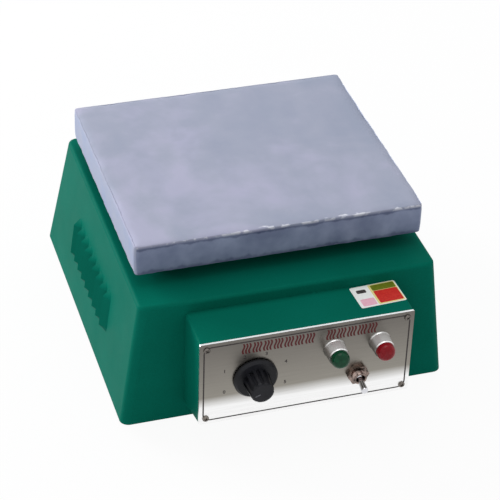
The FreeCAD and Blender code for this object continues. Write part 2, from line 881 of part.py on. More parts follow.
def add_louvres(body, side):
    """Presses a row of louvres into one side wall."""
    low, high = s.louvre_low, s.louvre_low + s.louvre_length
    wedge = lofted(body, "AdditiveLoft", [
        louvre_section(body, side, low, s.louvre_lip),
        louvre_section(body, side, low + s.louvre_end, s.louvre_out),
        louvre_section(body, side, high - s.louvre_end, s.louvre_out),
        louvre_section(body, side, high, s.louvre_lip),
    ])
    space = lofted(body, "SubtractiveLoft", [
        louvre_space(body, side, low + s.louvre_end),
        louvre_space(body, side, high - s.louvre_end),
    ])
    repeat_along_y(body, [wedge, space], s.louvre_pitch, s.louvre_count)


def repeat_along_y(body, features, pitch, count):
    """Repeats features in a row towards the rear."""
    row = body.newObject("PartDesign::LinearPattern", f"{body.Name}_row")
    row.Originals = features
    row.Direction = (datum_of(body, "Y_Axis"), [""])
    bind(row, "Length", pitch * (count - 1))
    row.Occurrences = int(count.value)
    bind(row, "Occurrences", count)
    body.Tip = row
    doc.recompute()


def datum_of(body, role):
    """A plane or an axis of the body's own origin."""
    return [item for item in body.Origin.OriginFeatures if item.Role == role][0]


# Control box
def make_control_box():
    """The folded box on the front: level top, underside rising to the panel, lips front and back."""
    body = new_body("control_box")
    left, right = s.box_shift - s.box_width / 2, s.box_shift + s.box_width / 2
    side = Outline(body, "YZ_Plane", left)
    side.polygon([(front_y, box_low_z), (front_y, box_top_z), (seat_y, box_top_z), (seat_y, panel_low_z)])
    side.raised(s.box_width)
    rounded_edges(body, s.box_bend, lengthwise)
    sheet_up = s.casing_sheet / cosine(box_rise_angle)
    back, front = front_y - s.casing_sheet, seat_y + s.casing_sheet
    inside = Outline(body, "YZ_Plane", right - s.casing_sheet)
    inside.polygon([
        (back, box_low_z + sheet_up + box_rise * s.casing_sheet), (back, box_top_z - s.casing_sheet),
        (front, box_top_z - s.casing_sheet), (front, panel_low_z + sheet_up - box_rise * s.casing_sheet),
    ])
    inside.sunk(s.box_width - 2 * s.casing_sheet)
    rear = box_window(Outline(body, "XZ_Plane", -front_y), 0.0)
    for x, z in box_screw_places:
        rear.circle(x, z, s.m4_radius + s.thread_fit)
    rear.sunk(s.casing_sheet, forward=True)
    mouth = Outline(body, "XZ_Plane", -seat_y)
    half, low, high = s.box_width / 2 - s.box_flange, panel_low_z + s.box_flange, box_top_z - s.box_flange
    mouth.rounded(s.box_shift - half, low, s.box_shift + half, high, s.box_bend)
    for x, z in panel_screw_places:
        mouth.circle(s.box_shift + x, panel_z + z, s.m3_radius + s.thread_fit)
    mouth.sunk(s.casing_sheet)
    return place(body, 0.0, 0.0, 0.0)


def make_control_panel():
    """The bright plate on the box's front, with a hole for each control."""
    body = new_body("control_panel")
    plate = Outline(body, offset=-s.panel_sheet)
    plate.rounded_about(0.0, 0.0, s.box_width, s.panel_height, s.panel_corner)
    for x, y in panel_screw_places:
        plate.circle(x, y, s.m3_radius + s.free_fit)
    for side in (-1, 1):
        plate.circle(lamp_x + side * s.lamp_spacing / 2, s.lamp_y, s.lamp_neck + s.free_fit)
    plate.circle(knob_x, s.knob_y, s.regulator_neck + s.free_fit)
    plate.circle(toggle_x, s.toggle_y, s.toggle_neck + s.free_fit)
    plate.raised(s.panel_sheet)
    return place_on_panel(body, 0.0, 0.0)


def make_box_screws():
    """Screws that hold the box to the casing and the panel to the box."""
    box_screws, panel_screws = [], []
    for i, (x, z) in enumerate(box_screw_places, 1):
        piece = screw(f"box_screw_{i}", s.m4_radius, 2 * s.casing_sheet + s.screw_reach)
        box_screws.append(place(piece, x, front_y + s.casing_sheet, z, -90.0))
    for i, (x, y) in enumerate(panel_screw_places, 1):
        piece = screw(f"panel_screw_{i}", s.m3_radius, s.panel_sheet + s.casing_sheet + s.screw_reach)
        panel_screws.append(place_on_panel(piece, x, y))
    return [group("box_screws", box_screws), group("panel_screws", panel_screws)]


# Regulator and knob
def make_regulator():
    """The energy regulator behind the panel: its case with a threaded neck, its nut and its shaft."""
    body = new_body("regulator_body")
    behind = s.panel_sheet + s.regulator_depth
    case = Outline(body, offset=-behind)
    case.rounded_about(0.0, 0.0, s.regulator_size, s.regulator_size, s.box_bend).raised(s.regulator_depth)
    neck = Outline(body, offset=-s.panel_sheet).circle(0.0, 0.0, s.regulator_neck)
    neck.raised(s.panel_sheet + s.regulator_neck_out)
    bore = Outline(body, offset=s.regulator_neck_out).circle(0.0, 0.0, s.shaft_radius + s.thread_fit)
    bore.sunk(s.regulator_neck_out + s.panel_sheet + s.regulator_depth / 2)
    place_on_panel(body, knob_x, s.knob_y)
    nut_piece = nut("regulator_nut", s.regulator_neck + s.thread_fit, s.regulator_across, s.regulator_nut)
    place_on_panel(nut_piece, knob_x, s.knob_y)
    low, high = s.slide_gap - (s.panel_sheet + s.regulator_depth / 2), s.shaft_out
    shaft = turned("regulator_shaft", [
        (0.0, low), (s.shaft_radius, low), (s.shaft_radius, high), (0.0, high),
    ])
    flat = Outline(shaft, offset=high)
    width = 2 * s.shaft_radius
    flat.rectangle(0.0, -(s.shaft_radius - s.shaft_flat + width / 2), width, width)
    flat.sunk(high - s.knob_clear - s.knob_hollow - s.seat_gap)
    place_on_panel(shaft, knob_x, s.knob_y)
    return [body, nut_piece, shaft]


def make_knob():
    """The skirted knob with a fluted grip, hollow over the nut, and its set screw."""
    low, top = s.knob_clear, s.knob_clear + s.knob_height
    shoulder = low + s.knob_skirt
    hollow = low + s.knob_hollow
    nut_room = s.regulator_across * HEX_CORNER + s.knob_clear
    bore = s.shaft_radius + s.thread_fit
    bore_end = s.shaft_out + s.slide_gap
    body = turned("knob", [
        (0.0, bore_end), (bore, bore_end), (bore, hollow), (nut_room, hollow), (nut_room, low),
        (s.knob_radius, low), (s.knob_radius, low + s.knob_rim), (s.knob_radius - s.knob_chamfer, shoulder),
        (s.knob_grip_radius + s.knob_taper, shoulder), (s.knob_grip_radius, top), (0.0, top),
    ])
    rounded_edges(body, s.knob_round, level_at(top))
    flute = Outline(body, offset=top)
    flute.circle(0.0, s.knob_grip_radius + s.knob_flute_radius / 2, s.knob_flute_radius)
    cut = flute.sunk(s.knob_height - s.knob_skirt)
    pattern = body.newObject("PartDesign::PolarPattern", "knob_flute_ring")
    pattern.Originals = [cut]
    pattern.Axis = (datum_of(body, "Z_Axis"), [""])
    pattern.Angle = 360
    pattern.Occurrences = int(s.knob_flutes.value)
    bind(pattern, "Occurrences", s.knob_flutes)
    body.Tip = pattern
    doc.recompute()
    tap = Outline(body, "XZ_Plane", 0.0).circle(0.0, s.grub_out, s.m3_radius + s.thread_fit)
    tap.sunk(s.knob_radius, forward=True)
    place_on_panel(body, knob_x, s.knob_y)
    seat = s.shaft_radius - s.shaft_flat + s.seat_gap
    end = s.knob_grip_radius - s.knob_flute_radius
    grub = turned("knob_set_screw", [(0.0, seat), (s.m3_radius, seat), (s.m3_radius, end), (0.0, end)])
    place(grub, s.box_shift + knob_x, panel_y - s.grub_out, panel_z + s.knob_y, 180.0)
    return [body, grub]


# Lamps
def make_lamp(colour, side):
    """One indicator lamp: chrome bezel, coloured lens, holder behind the panel and its nut."""
    x, y = lamp_x + side * s.lamp_spacing / 2, s.lamp_y
    lens_radius = s.bezel_radius - s.bezel_rim
    core, collar = s.lamp_core, s.bezel_radius + s.lamp_collar
    neck, shoulder = s.lamp_neck + s.thread_fit, s.bezel_rim * 2
    bezel = turned(f"{colour}_lamp_bezel", [
        (neck, 0.0), (collar, 0.0), (collar, s.bezel_rim), (s.bezel_radius + s.bezel_taper, shoulder),
        (s.bezel_radius, s.bezel_height - s.bezel_rim), (s.bezel_radius - s.bezel_rim / 2, s.bezel_height),
        (lens_radius, s.bezel_height), (lens_radius, shoulder), (neck, shoulder),
    ])
    seat = shoulder + s.seat_gap
    lens = turned(f"{colour}_lamp_lens", [
        (core + s.seat_gap, seat), (lens_radius - s.seat_gap, seat), (lens_radius - s.seat_gap, lens_out),
        (0.0, lens_out), (0.0, lens_out - s.lens_dome / 2), (core + s.seat_gap, lens_out - s.lens_dome),
    ])
    rounded_edges(lens, s.lens_dome, level_at(lens_out))
    back = -(s.panel_sheet + s.lamp_depth)
    holder = turned(f"{colour}_lamp_holder", [
        (0.0, back), (s.lamp_neck, back), (s.lamp_neck, shoulder), (core, shoulder),
        (core, s.bezel_height), (0.0, s.bezel_height),
    ])
    tabs = Outline(holder, offset=back)
    for way in (-1, 1):
        tabs.rectangle(way * s.lamp_neck / 2, 0.0, s.tag_sheet, s.tag_width)
    tabs.raised_back(s.tag_length)
    nut_piece = nut(f"{colour}_lamp_nut", s.lamp_neck + s.thread_fit, s.lamp_across, s.lamp_nut)
    for piece in (bezel, lens, holder):
        place_on_panel(piece, x, y)
    place(nut_piece, s.box_shift + x, seat_y + s.lamp_nut, panel_z + y, 90.0)
    return [bezel, lens, holder, nut_piece]


# Toggle switch
def make_toggle():
    """The toggle switch: its body, threaded bush, washer, nut and a lever with a ball pivot."""
    body = new_body("toggle_body")
    behind = s.panel_sheet + s.toggle_depth
    case = Outline(body, offset=-behind)
    case.rounded_about(0.0, 0.0, s.toggle_width, s.toggle_length, s.panel_corner).raised(s.toggle_depth)
    bore = Outline(body, offset=-s.panel_sheet).circle(0.0, 0.0, s.lever_ball + s.slide_gap)
    bore.sunk(s.toggle_depth / 2)
    tabs = Outline(body, offset=-behind)
    for row in (-1, 0, 1):
        tabs.rectangle(0.0, row * s.toggle_length / 3, s.tag_width, s.tag_sheet)
    tabs.raised_back(s.tag_length)
    place_on_panel(body, toggle_x, s.toggle_y)
    bush = make_toggle_bush()
    hole = s.toggle_neck + s.free_fit
    washer = ring("toggle_washer", hole, s.toggle_washer_radius, 0.0, s.toggle_washer_sheet)
    place_on_panel(washer, toggle_x, s.toggle_y)
    ring_nut = nut("toggle_nut", s.toggle_neck + s.thread_fit, s.toggle_nut_across, s.toggle_nut_height)
    x, z = s.box_shift + toggle_x, panel_z + s.toggle_y
    place(ring_nut, x, panel_y - s.toggle_washer_sheet, z, 90.0)
    lever = make_lever()
    place(lever, x, panel_y - lever_pivot_out, z, 90.0 + s.lever_tilt)
    return [body, bush, washer, ring_nut, lever]


def make_toggle_bush():
    """The switch's bush: a tube whose front end is threaded and chamfered."""
    inner, outer, end = s.lever_ball + s.slide_gap, s.toggle_neck, s.toggle_neck_out
    start = end - s.thread_pitch * (s.thread_turns + 1)
    profile = [(inner, -s.panel_sheet), (outer, -s.panel_sheet)]
    for turn in range(int(s.thread_turns.value)):
        crest = start + s.thread_pitch * turn
        profile += [(outer, crest), (outer - s.thread_depth, crest + s.thread_pitch / 2)]
    profile += [(outer, end - s.thread_pitch), (outer - s.thread_pitch / 2, end), (inner, end)]
    return place_on_panel(turned("toggle_bush", profile), toggle_x, s.toggle_y)


def make_lever():
    """The switch's lever along its own Z: a ball pivot, a stem that widens and a round tip."""
    ball = doc.addObject("Part::Sphere", "toggle_lever_ball")
    bind(ball, "Radius", s.lever_ball)
    stem = doc.addObject("Part::Cone", "toggle_lever_stem")
    bind(stem, "Radius1", s.lever_root)
    bind(stem, "Radius2", s.lever_tip)
    bind(stem, "Height", s.lever_length - s.lever_tip)
    tip = doc.addObject("Part::Sphere", "toggle_lever_tip")
    bind(tip, "Radius", s.lever_tip)
    place(tip, 0.0, 0.0, s.lever_length - s.lever_tip)
    lever = doc.addObject("Part::MultiFuse", "toggle_lever")
    lever.Label = "toggle_lever"
    lever.Shapes = [ball, stem, tip]
    return lever


# Base plate and feet
def make_base_plate():
    """The vented sheet under the casing, drilled for the feet and for what stands on it."""
    body = new_body("base_plate")
    half = s.casing_bottom_width / 2 - s.base_inset
    low, high = front_y + s.base_inset, front_y + s.casing_bottom_depth - s.base_inset
    Outline(body).rounded(-half, low, half, high, s.casing_corner - s.base_inset / 2).raised(s.base_sheet)
    holes = Outline(body, offset=s.base_sheet)
    for x, y in foot_places + base_screw_places + block_screw_places:
        holes.circle(x, y, s.m4_radius + s.free_fit)
    holes.circle(s.earth_x, s.earth_y, s.m5_radius + s.thread_fit)
    holes.sunk(s.base_sheet)
    vents = Outline(body, offset=s.base_sheet)
    start = plate_y - s.vent_pitch * (s.vent_count - 1) / 2
    vents.rounded_about(0.0, start, s.vent_length, s.vent_width, s.vent_width / 2 - s.seat_gap)
    repeat_along_y(body, [vents.sunk(s.base_sheet)], s.vent_pitch, s.vent_count)
    return place(body, 0.0, 0.0, s.foot_height)


def make_feet():
    """Four rubber feet with their screws and nuts, and the base plate's own screws."""
    nodes, screws, nuts, base_screws = [], [], [], []
    recess = s.foot_recess
    head = s.m4_radius * HEAD_RADIUS + s.slide_gap
    for (x, y), name in zip(foot_places, FOOT_NAMES):
        foot = turned(name, [
            (head, 0.0), (s.foot_radius - s.foot_taper, 0.0), (s.foot_radius, s.foot_height),
            (s.m4_radius + s.free_fit, s.foot_height), (s.m4_radius + s.free_fit, recess), (head, recess),
        ])
        nodes.append(place(foot, x, y, 0.0))
        length = s.foot_height - recess + s.base_sheet + s.m4_nut + s.screw_reach / 2
        screws.append(place(screw(f"{name}_screw", s.m4_radius, length), x, y, recess, 180.0))
        piece = nut(f"{name}_nut", s.m4_radius + s.thread_fit, s.m4_across, s.m4_nut)
        nuts.append(place(piece, x, y, casing_z))
    for i, (x, y) in enumerate(base_screw_places, 1):
        piece = screw(f"base_screw_{i}", s.m4_radius, s.base_sheet + s.casing_sheet + s.screw_reach)
        base_screws.append(place(piece, x, y, s.foot_height, 180.0))
    nodes += [group("foot_screws", screws), group("foot_nuts", nuts), group("base_screws", base_screws)]
    return nodes


def make_terminal_block():
    """The ceramic terminal block on the base plate, its terminals, and the earth stud beside it."""
    body = new_body("terminal_block")
    base = Outline(body).rounded_about(0.0, 0.0, s.block_length, s.block_width, s.panel_corner)
    base.raised(s.block_height)
    steps = Outline(body, offset=s.block_height)
    for way in (-1, 1):
        steps.rectangle(0.0, way * s.block_width / 2, s.block_length + s.block_step, s.block_step)
    steps.sunk(s.block_step)
    holes = Outline(body, offset=s.block_height)
    for way in (-1, 1):
        holes.circle(way * block_screw_reach, 0.0, s.m4_radius + s.free_fit)
    for slot in (-1, 0, 1):
        holes.circle(slot * s.block_pitch, 0.0, s.m3_radius + s.thread_fit)
    holes.sunk(s.block_height)
    place(body, s.block_x, s.block_y, casing_z)
    fixings, terminals = [], []
    top = casing_z + s.block_height
    for i, (x, y) in enumerate(block_screw_places, 1):
        piece = screw(f"block_screw_{i}", s.m4_radius, s.block_height + s.base_sheet + s.screw_reach)
        fixings.append(place(piece, x, y, top))
    for i, slot in enumerate((-1, 0, 1), 1):
        piece = screw(f"terminal_{i}", s.m3_radius, s.block_height - s.screw_reach)
        terminals.append(place(piece, s.block_x + slot * s.block_pitch, s.block_y, top))
    stud_low, stud_high = -(s.base_sheet + s.screw_reach / 2), s.earth_height
    stud = turned("earth_stud", [
        (0.0, stud_low), (s.m5_radius, stud_low), (s.m5_radius, stud_high), (0.0, stud_high),
    ])
    place(stud, s.earth_x, s.earth_y, casing_z)
    earth_nut = nut("earth_nut", s.m5_radius + s.thread_fit, s.m5_across, s.m5_nut)
    place(earth_nut, s.earth_x, s.earth_y, casing_z)
    return [body, group("block_screws", fixings), group("terminals", terminals), stud, earth_nut]


# Mains inlet
def make_inlet():
    """The mains inlet on the leaning rear wall: moulded body, three blades and two screws."""
    body = new_body("mains_inlet")
    Outline(body).rounded_about(
        0.0, 0.0, s.inlet_flange_width, s.inlet_flange_height, s.panel_corner * 2).raised(s.inlet_flange)
    shell = Outline(body, offset=-s.inlet_depth)
    shell.rounded_about(0.0, 0.0, s.inlet_body_width, s.inlet_body_height, s.panel_corner)
    shell.raised(s.inlet_depth)
    socket = Outline(body, offset=s.inlet_flange)
    width, height = s.inlet_body_width - 2 * s.inlet_wall, s.inlet_body_height - 2 * s.inlet_wall
    key = s.inlet_key
    socket.polygon([
        (key - width / 2, -height / 2), (width / 2 - key, -height / 2), (width / 2, key - height / 2),
        (width / 2, height / 2), (-width / 2, height / 2), (-width / 2, key - height / 2),
    ])
    socket.sunk(s.inlet_socket)
    holes = Outline(body, offset=s.inlet_flange)
    for side in (-1, 1):
        holes.circle(side * s.inlet_screw_spacing / 2, 0.0, s.m3_radius + s.free_fit)
    holes.sunk(s.inlet_flange)
    slots = Outline(body, offset=s.inlet_flange - s.inlet_socket)
    for x, y in pin_places:
        slots.rectangle(x, y, s.pin_sheet + 2 * s.thread_fit, s.pin_width + 2 * s.thread_fit)
    slots.sunk(s.inlet_depth + s.inlet_flange - s.inlet_socket)
    face_y, face_z, turn = rear_at(s.inlet_rise), casing_z + s.inlet_rise, rear_angle - 90.0
    place(body, s.inlet_x, face_y, face_z, turn)
    blades = new_body("inlet_blades")
    blades.AllowCompound = True
    sections = Outline(blades, offset=-(s.inlet_depth + s.pin_tail))
    for x, y in pin_places:
        sections.rectangle(x, y, s.pin_sheet, s.pin_width)
    sections.raised(s.inlet_depth + s.pin_tail + s.inlet_flange - s.inlet_socket + s.pin_length)
    place(blades, s.inlet_x, face_y, face_z, turn)
    screws = []
    for i, side in enumerate((-1, 1), 1):
        piece = screw(f"inlet_screw_{i}", s.m3_radius, s.inlet_flange + s.casing_sheet + s.screw_reach)
        x = s.inlet_x + side * s.inlet_screw_spacing / 2
        out_y, out_z = s.inlet_flange * cosine(rear_angle), s.inlet_flange * sine(rear_angle)
        screws.append(place(piece, x, face_y + out_y, face_z + out_z, turn))
    return [body, blades, group("inlet_screws", screws)]


nodes = [make_top_plate(), *make_studs(), make_heating_element(), *make_clamps()]
nodes += [make_heat_shield(), make_insulation_pad(), make_element_bushes()]
nodes += [make_casing(), make_control_box(), make_control_panel(), *make_box_screws()]
nodes += [*make_regulator(), *make_knob(), *make_lamp("green", -1), *make_lamp("red", 1), *make_toggle()]
nodes += [make_base_plate(), *make_feet(), *make_terminal_block(), *make_inlet()]
doc.recompute()

for item in doc.Objects:
    if "Invalid" in item.State or "Error" in item.State:
        raise RuntimeError(f"{item.Label} failed to build: {item.State}")
for node in nodes:
    if node.Shape.isNull() or not node.Shape.isValid() or not node.Shape.Solids:
        raise RuntimeError(f"{node.Label} has no sound solid")

os.makedirs("parts", exist_ok=True)
for node in nodes:
    node.Shape.exportStep(f"parts/{node.Label}.step")
print(len(nodes), "nodes,", sum(len(node.Shape.Solids) for node in nodes), "solids")
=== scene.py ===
"""A laboratory hot plate dressed for its portrait: finishes, printed panel, fittings and studio.

Lengths are in millimetres in the classes below and become metres where a mesh is made, apart from the studio's, which
are in metres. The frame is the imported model's own: +Z up from the bench, the front faces -Y, +X to the right of
someone facing the panel. WELD is how close two points of a mesh count as one, in millimetres, and DIGIT_SHARE is how
much of a font's size its digits take up.
"""

from __future__ import annotations

import json
import logging
import math
from dataclasses import dataclass
from enum import Enum
from typing import Protocol, Sequence

import bmesh
import bpy
from mathutils import Matrix, Vector, noise


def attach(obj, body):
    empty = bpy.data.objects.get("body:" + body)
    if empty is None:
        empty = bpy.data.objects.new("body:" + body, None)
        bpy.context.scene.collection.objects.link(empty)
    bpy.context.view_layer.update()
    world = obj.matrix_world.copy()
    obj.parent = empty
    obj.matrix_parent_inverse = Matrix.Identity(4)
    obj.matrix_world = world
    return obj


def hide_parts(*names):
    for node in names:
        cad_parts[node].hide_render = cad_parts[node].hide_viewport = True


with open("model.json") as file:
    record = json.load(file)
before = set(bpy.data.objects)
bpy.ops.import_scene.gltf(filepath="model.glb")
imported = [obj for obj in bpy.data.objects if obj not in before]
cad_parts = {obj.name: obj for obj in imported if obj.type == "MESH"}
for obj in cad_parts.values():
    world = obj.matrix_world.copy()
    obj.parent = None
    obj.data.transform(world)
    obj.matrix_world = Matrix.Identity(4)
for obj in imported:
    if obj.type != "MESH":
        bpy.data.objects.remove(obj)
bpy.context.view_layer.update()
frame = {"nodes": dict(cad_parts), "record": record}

MM = 0.001
WELD = 0.0005
DIGIT_SHARE = 0.7
LOG = logging.getLogger("hot_plate")

Colour = tuple[float, float, float]
Point = tuple[float, float, float]
Socket = bpy.types.NodeSocket
Shape = bmesh.types.BMesh


class Rides(Enum):
    """The bodies of the frame that the scene's pieces ride on."""

    CASE = "hot_plate"
    KNOB = "control_knob"


class Look(Enum):
    """The three ways in which a surface's noise is stretched."""

    EVEN = (1.0, 1.0, 1.0)
    ALONG_X = (0.03, 1.0, 1.0)
    ALONG_Z = (1.0, 1.0, 0.03)


def linear(colour: Colour) -> tuple[float, float, float, float]:
    """Turns a colour as it is seen on a screen, 0 to 255, into the linear one that a shader takes.

    Args:
        colour: red, green and blue from 0 to 255.

    Returns:
        The linear colour with full opacity.
    """
    parts = [part / 255 for part in colour]
    return (*(part / 12.92 if part <= 0.04045 else ((part + 0.055) / 1.055) ** 2.4 for part in parts), 1.0)


class Graph:
    """A material's node tree, with short calls for the nodes that the finishes share."""

    def __init__(self, name: str) -> None:
        """Starts a material with one main shader.

        Args:
            name: the material's name.
        """
        self.material = bpy.data.materials.new(name)
        self.material.use_nodes = True
        self.tree = self.material.node_tree
        self.tree.nodes.clear()
        self.shader = self.node("ShaderNodeBsdfPrincipled")
        output = self.node("ShaderNodeOutputMaterial")
        self.join(self.shader.outputs["BSDF"], output.inputs["Surface"])
        self.coordinates = self.node("ShaderNodeTexCoord").outputs["Object"]

    def node(self, kind: str, **settings: object) -> bpy.types.Node:
        """Adds a node.

        Args:
            kind: Blender's name for the kind of node.
            settings: properties to set on it.

        Returns:
            The new node.
        """
        made = self.tree.nodes.new(kind)
        for key, value in settings.items():
            setattr(made, key, value)
        return made

    def join(self, source: Socket, target: Socket) -> None:
        """Links one socket to another."""
        self.tree.links.new(source, target)

    def set(self, socket: str, value: float | tuple[float, ...]) -> None:
        """Writes a plain value on one of the shader's own sockets."""
        self.shader.inputs[socket].default_value = value

    def colour(self, source: Socket) -> None:
        """Gives the surface its colour."""
        self.join(source, self.shader.inputs["Base Color"])

    def roughness(self, source: Socket) -> None:
        """Gives the surface its roughness."""
        self.join(source, self.shader.inputs["Roughness"])

    def mapped(self, stretch: Look | Point = Look.EVEN, shift: Point = (0.0, 0.0, 0.0)) -> Socket:
        """Gives object coordinates, stretched.

        Args:
            stretch: a named stretch, or how fast the pattern runs along each axis.
            shift: how far the pattern is moved, in metres.

        Returns:
            The coordinates' socket.
        """
        mapping = self.node("ShaderNodeMapping")
        mapping.inputs["Scale"].default_value = stretch.value if isinstance(stretch, Look) else stretch
        mapping.inputs["Location"].default_value = shift
        self.join(self.coordinates, mapping.inputs["Vector"])
        return mapping.outputs["Vector"]

    def noise(self, place: Socket, scale: float, detail: float = 3.0,
              distortion: float = 0.0) -> Socket:
        """Gives a noise factor.

        Args:
            place: the coordinates it reads.
            scale: how many features there are in a metre.
            detail: how many finer layers it has.
            distortion: how far it swirls.

        Returns:
            The factor's socket, from 0 to 1.
        """
        made = self.node("ShaderNodeTexNoise")
        made.inputs["Scale"].default_value = scale
        made.inputs["Detail"].default_value = detail
        made.inputs["Distortion"].default_value = distortion
        self.join(place, made.inputs["Vector"])
        return made.outputs["Fac"]

    def cells(self, place: Socket, scale: float, output: str = "Color") -> Socket:
        """Gives a pattern of cells.

        Args:
            place: the coordinates it reads.
            scale: how many cells there are in a metre.
            output: Blender's name for the output that is read.

        Returns:
            That output's socket.
        """
        made = self.node("ShaderNodeTexVoronoi")
        made.inputs["Scale"].default_value = scale
        self.join(place, made.inputs["Vector"])
        return made.outputs[output]

    def ramp(self, factor: Socket, stops: Sequence[tuple[float, Colour]]) -> Socket:
        """Turns a factor into a colour.

        Args:
            factor: the factor.
            stops: places from 0 to 1 and their colours, 0 to 255.

        Returns:
            The colour's socket.
        """
        made = self.node("ShaderNodeValToRGB")
        elements = made.color_ramp.elements
        while len(elements) < len(stops):
            elements.new(0.5)
        for element, (place, colour) in zip(elements, stops):
            element.position = place
            element.color = linear(colour)
        self.join(factor, made.inputs["Fac"])
        return made.outputs["Color"]

    def span(self, factor: Socket, low: float, high: float, start: float = 0.0,
             end: float = 1.0) -> Socket:
        """Maps a factor's range onto another one.

        Args:
            factor: the factor.
            low: the result at the range's start.
            high: the result at the range's end.
            start: the factor at which the range starts.
            end: the factor at which it ends.

        Returns:
            The result's socket.
        """
        made = self.node("ShaderNodeMapRange")
        for socket, value in (("From Min", start), ("From Max", end), ("To Min", low), ("To Max", high)):
            made.inputs[socket].default_value = value
        self.join(factor, made.inputs["Value"])
        return made.outputs["Result"]

    def mix(self, factor: Socket | float, first: Socket,
            second: Socket, blend: str = "MIX") -> Socket:
        """Mixes two colours.

        Args:
            factor: how much of the second colour there is.
            first: the first colour.
            second: the second colour.
            blend: Blender's name for the way of mixing.

        Returns:
            The mixed colour's socket.
        """
        made = self.node("ShaderNodeMix", data_type="RGBA", blend_type=blend)
        if isinstance(factor, float):
            made.inputs["Factor"].default_value = factor
        else:
            self.join(factor, made.inputs["Factor"])
        self.join(first, made.inputs["A"])
        self.join(second, made.inputs["B"])
        return made.outputs["Result"]

    def height(self, axis: str) -> Socket:
        """Gives one coordinate.

        Args:
            axis: X, Y or Z.

        Returns:
            Its socket, in metres.
        """
        made = self.node("ShaderNodeSeparateXYZ")
        self.join(self.coordinates, made.inputs["Vector"])
        return made.outputs[axis]

    def sum(self, first: Socket, second: Socket, share: float) -> Socket:
        """Adds a share of the second value to the first.

        Args:
            first: the value that is kept whole.
            second: the value that is added.
            share: how much of it is added.

        Returns:
            The sum's socket.
        """
        made = self.node("ShaderNodeMath", operation="MULTIPLY_ADD")
        self.join(second, made.inputs[0])
        made.inputs[1].default_value = share
        self.join(first, made.inputs[2])
        return made.outputs["Value"]

    def larger(self, first: Socket, second: Socket) -> Socket:
        """Gives the larger of two values.

        Args:
            first: one value.
            second: the other value.

        Returns:
            The larger one's socket.
        """
        made = self.node("ShaderNodeMath", operation="MAXIMUM")
        self.join(first, made.inputs[0])
        self.join(second, made.inputs[1])
        return made.outputs["Value"]

    def bump(self, relief: Socket, depth: float, strength: float = 1.0) -> None:
        """Gives the surface a relief.

        Args:
            relief: the height factor.
            depth: how high a factor of 1 stands, in millimetres.
            strength: how strongly it shows.
        """
        made = self.node("ShaderNodeBump")
        made.inputs["Distance"].default_value = depth * MM
        made.inputs["Strength"].default_value = strength
        self.join(relief, made.inputs["Height"])
        previous = self.shader.inputs["Normal"]
        if previous.is_linked:
            self.join(previous.links[0].from_socket, made.inputs["Normal"])
        self.join(made.outputs["Normal"], previous)


class Finish(Protocol):
    """What every finish has: a name, and a way to make its material."""

    @property
    def name(self) -> str:
        """The material's name."""

    def make(self) -> bpy.types.Material:
        """Makes the material."""


@dataclass(frozen=True)
class Enamel:
    """Sprayed enamel on sheet steel: a deep even colour with a faint orange-peel skin."""

    name: str
    colour: Colour
    worn: Colour
    roughness: float = 0.42
    specular: float = 0.01

    def make(self) -> bpy.types.Material:
        """Makes the material.

        Returns:
            The material.
        """
        graph = Graph(self.name)
        place = graph.mapped()
        broad = graph.noise(place, 14.0, 2.0)
        body = graph.ramp(broad, [(0.3, self.colour), (0.75, self.worn)])
        specks = graph.ramp(graph.noise(place, 900.0, 1.0), [(0.35, (232, 236, 232)), (0.6, (255, 255, 255))])
        graph.colour(graph.mix(0.5, body, specks, "MULTIPLY"))
        graph.roughness(graph.span(graph.noise(place, 40.0), self.roughness - 0.06, self.roughness + 0.08))
        graph.set("Specular IOR Level", self.specular)
        graph.bump(graph.noise(place, 420.0, 2.0), 0.05, 0.35)
        graph.bump(graph.noise(place, 22.0, 1.0), 0.5, 0.25)
        return graph.material


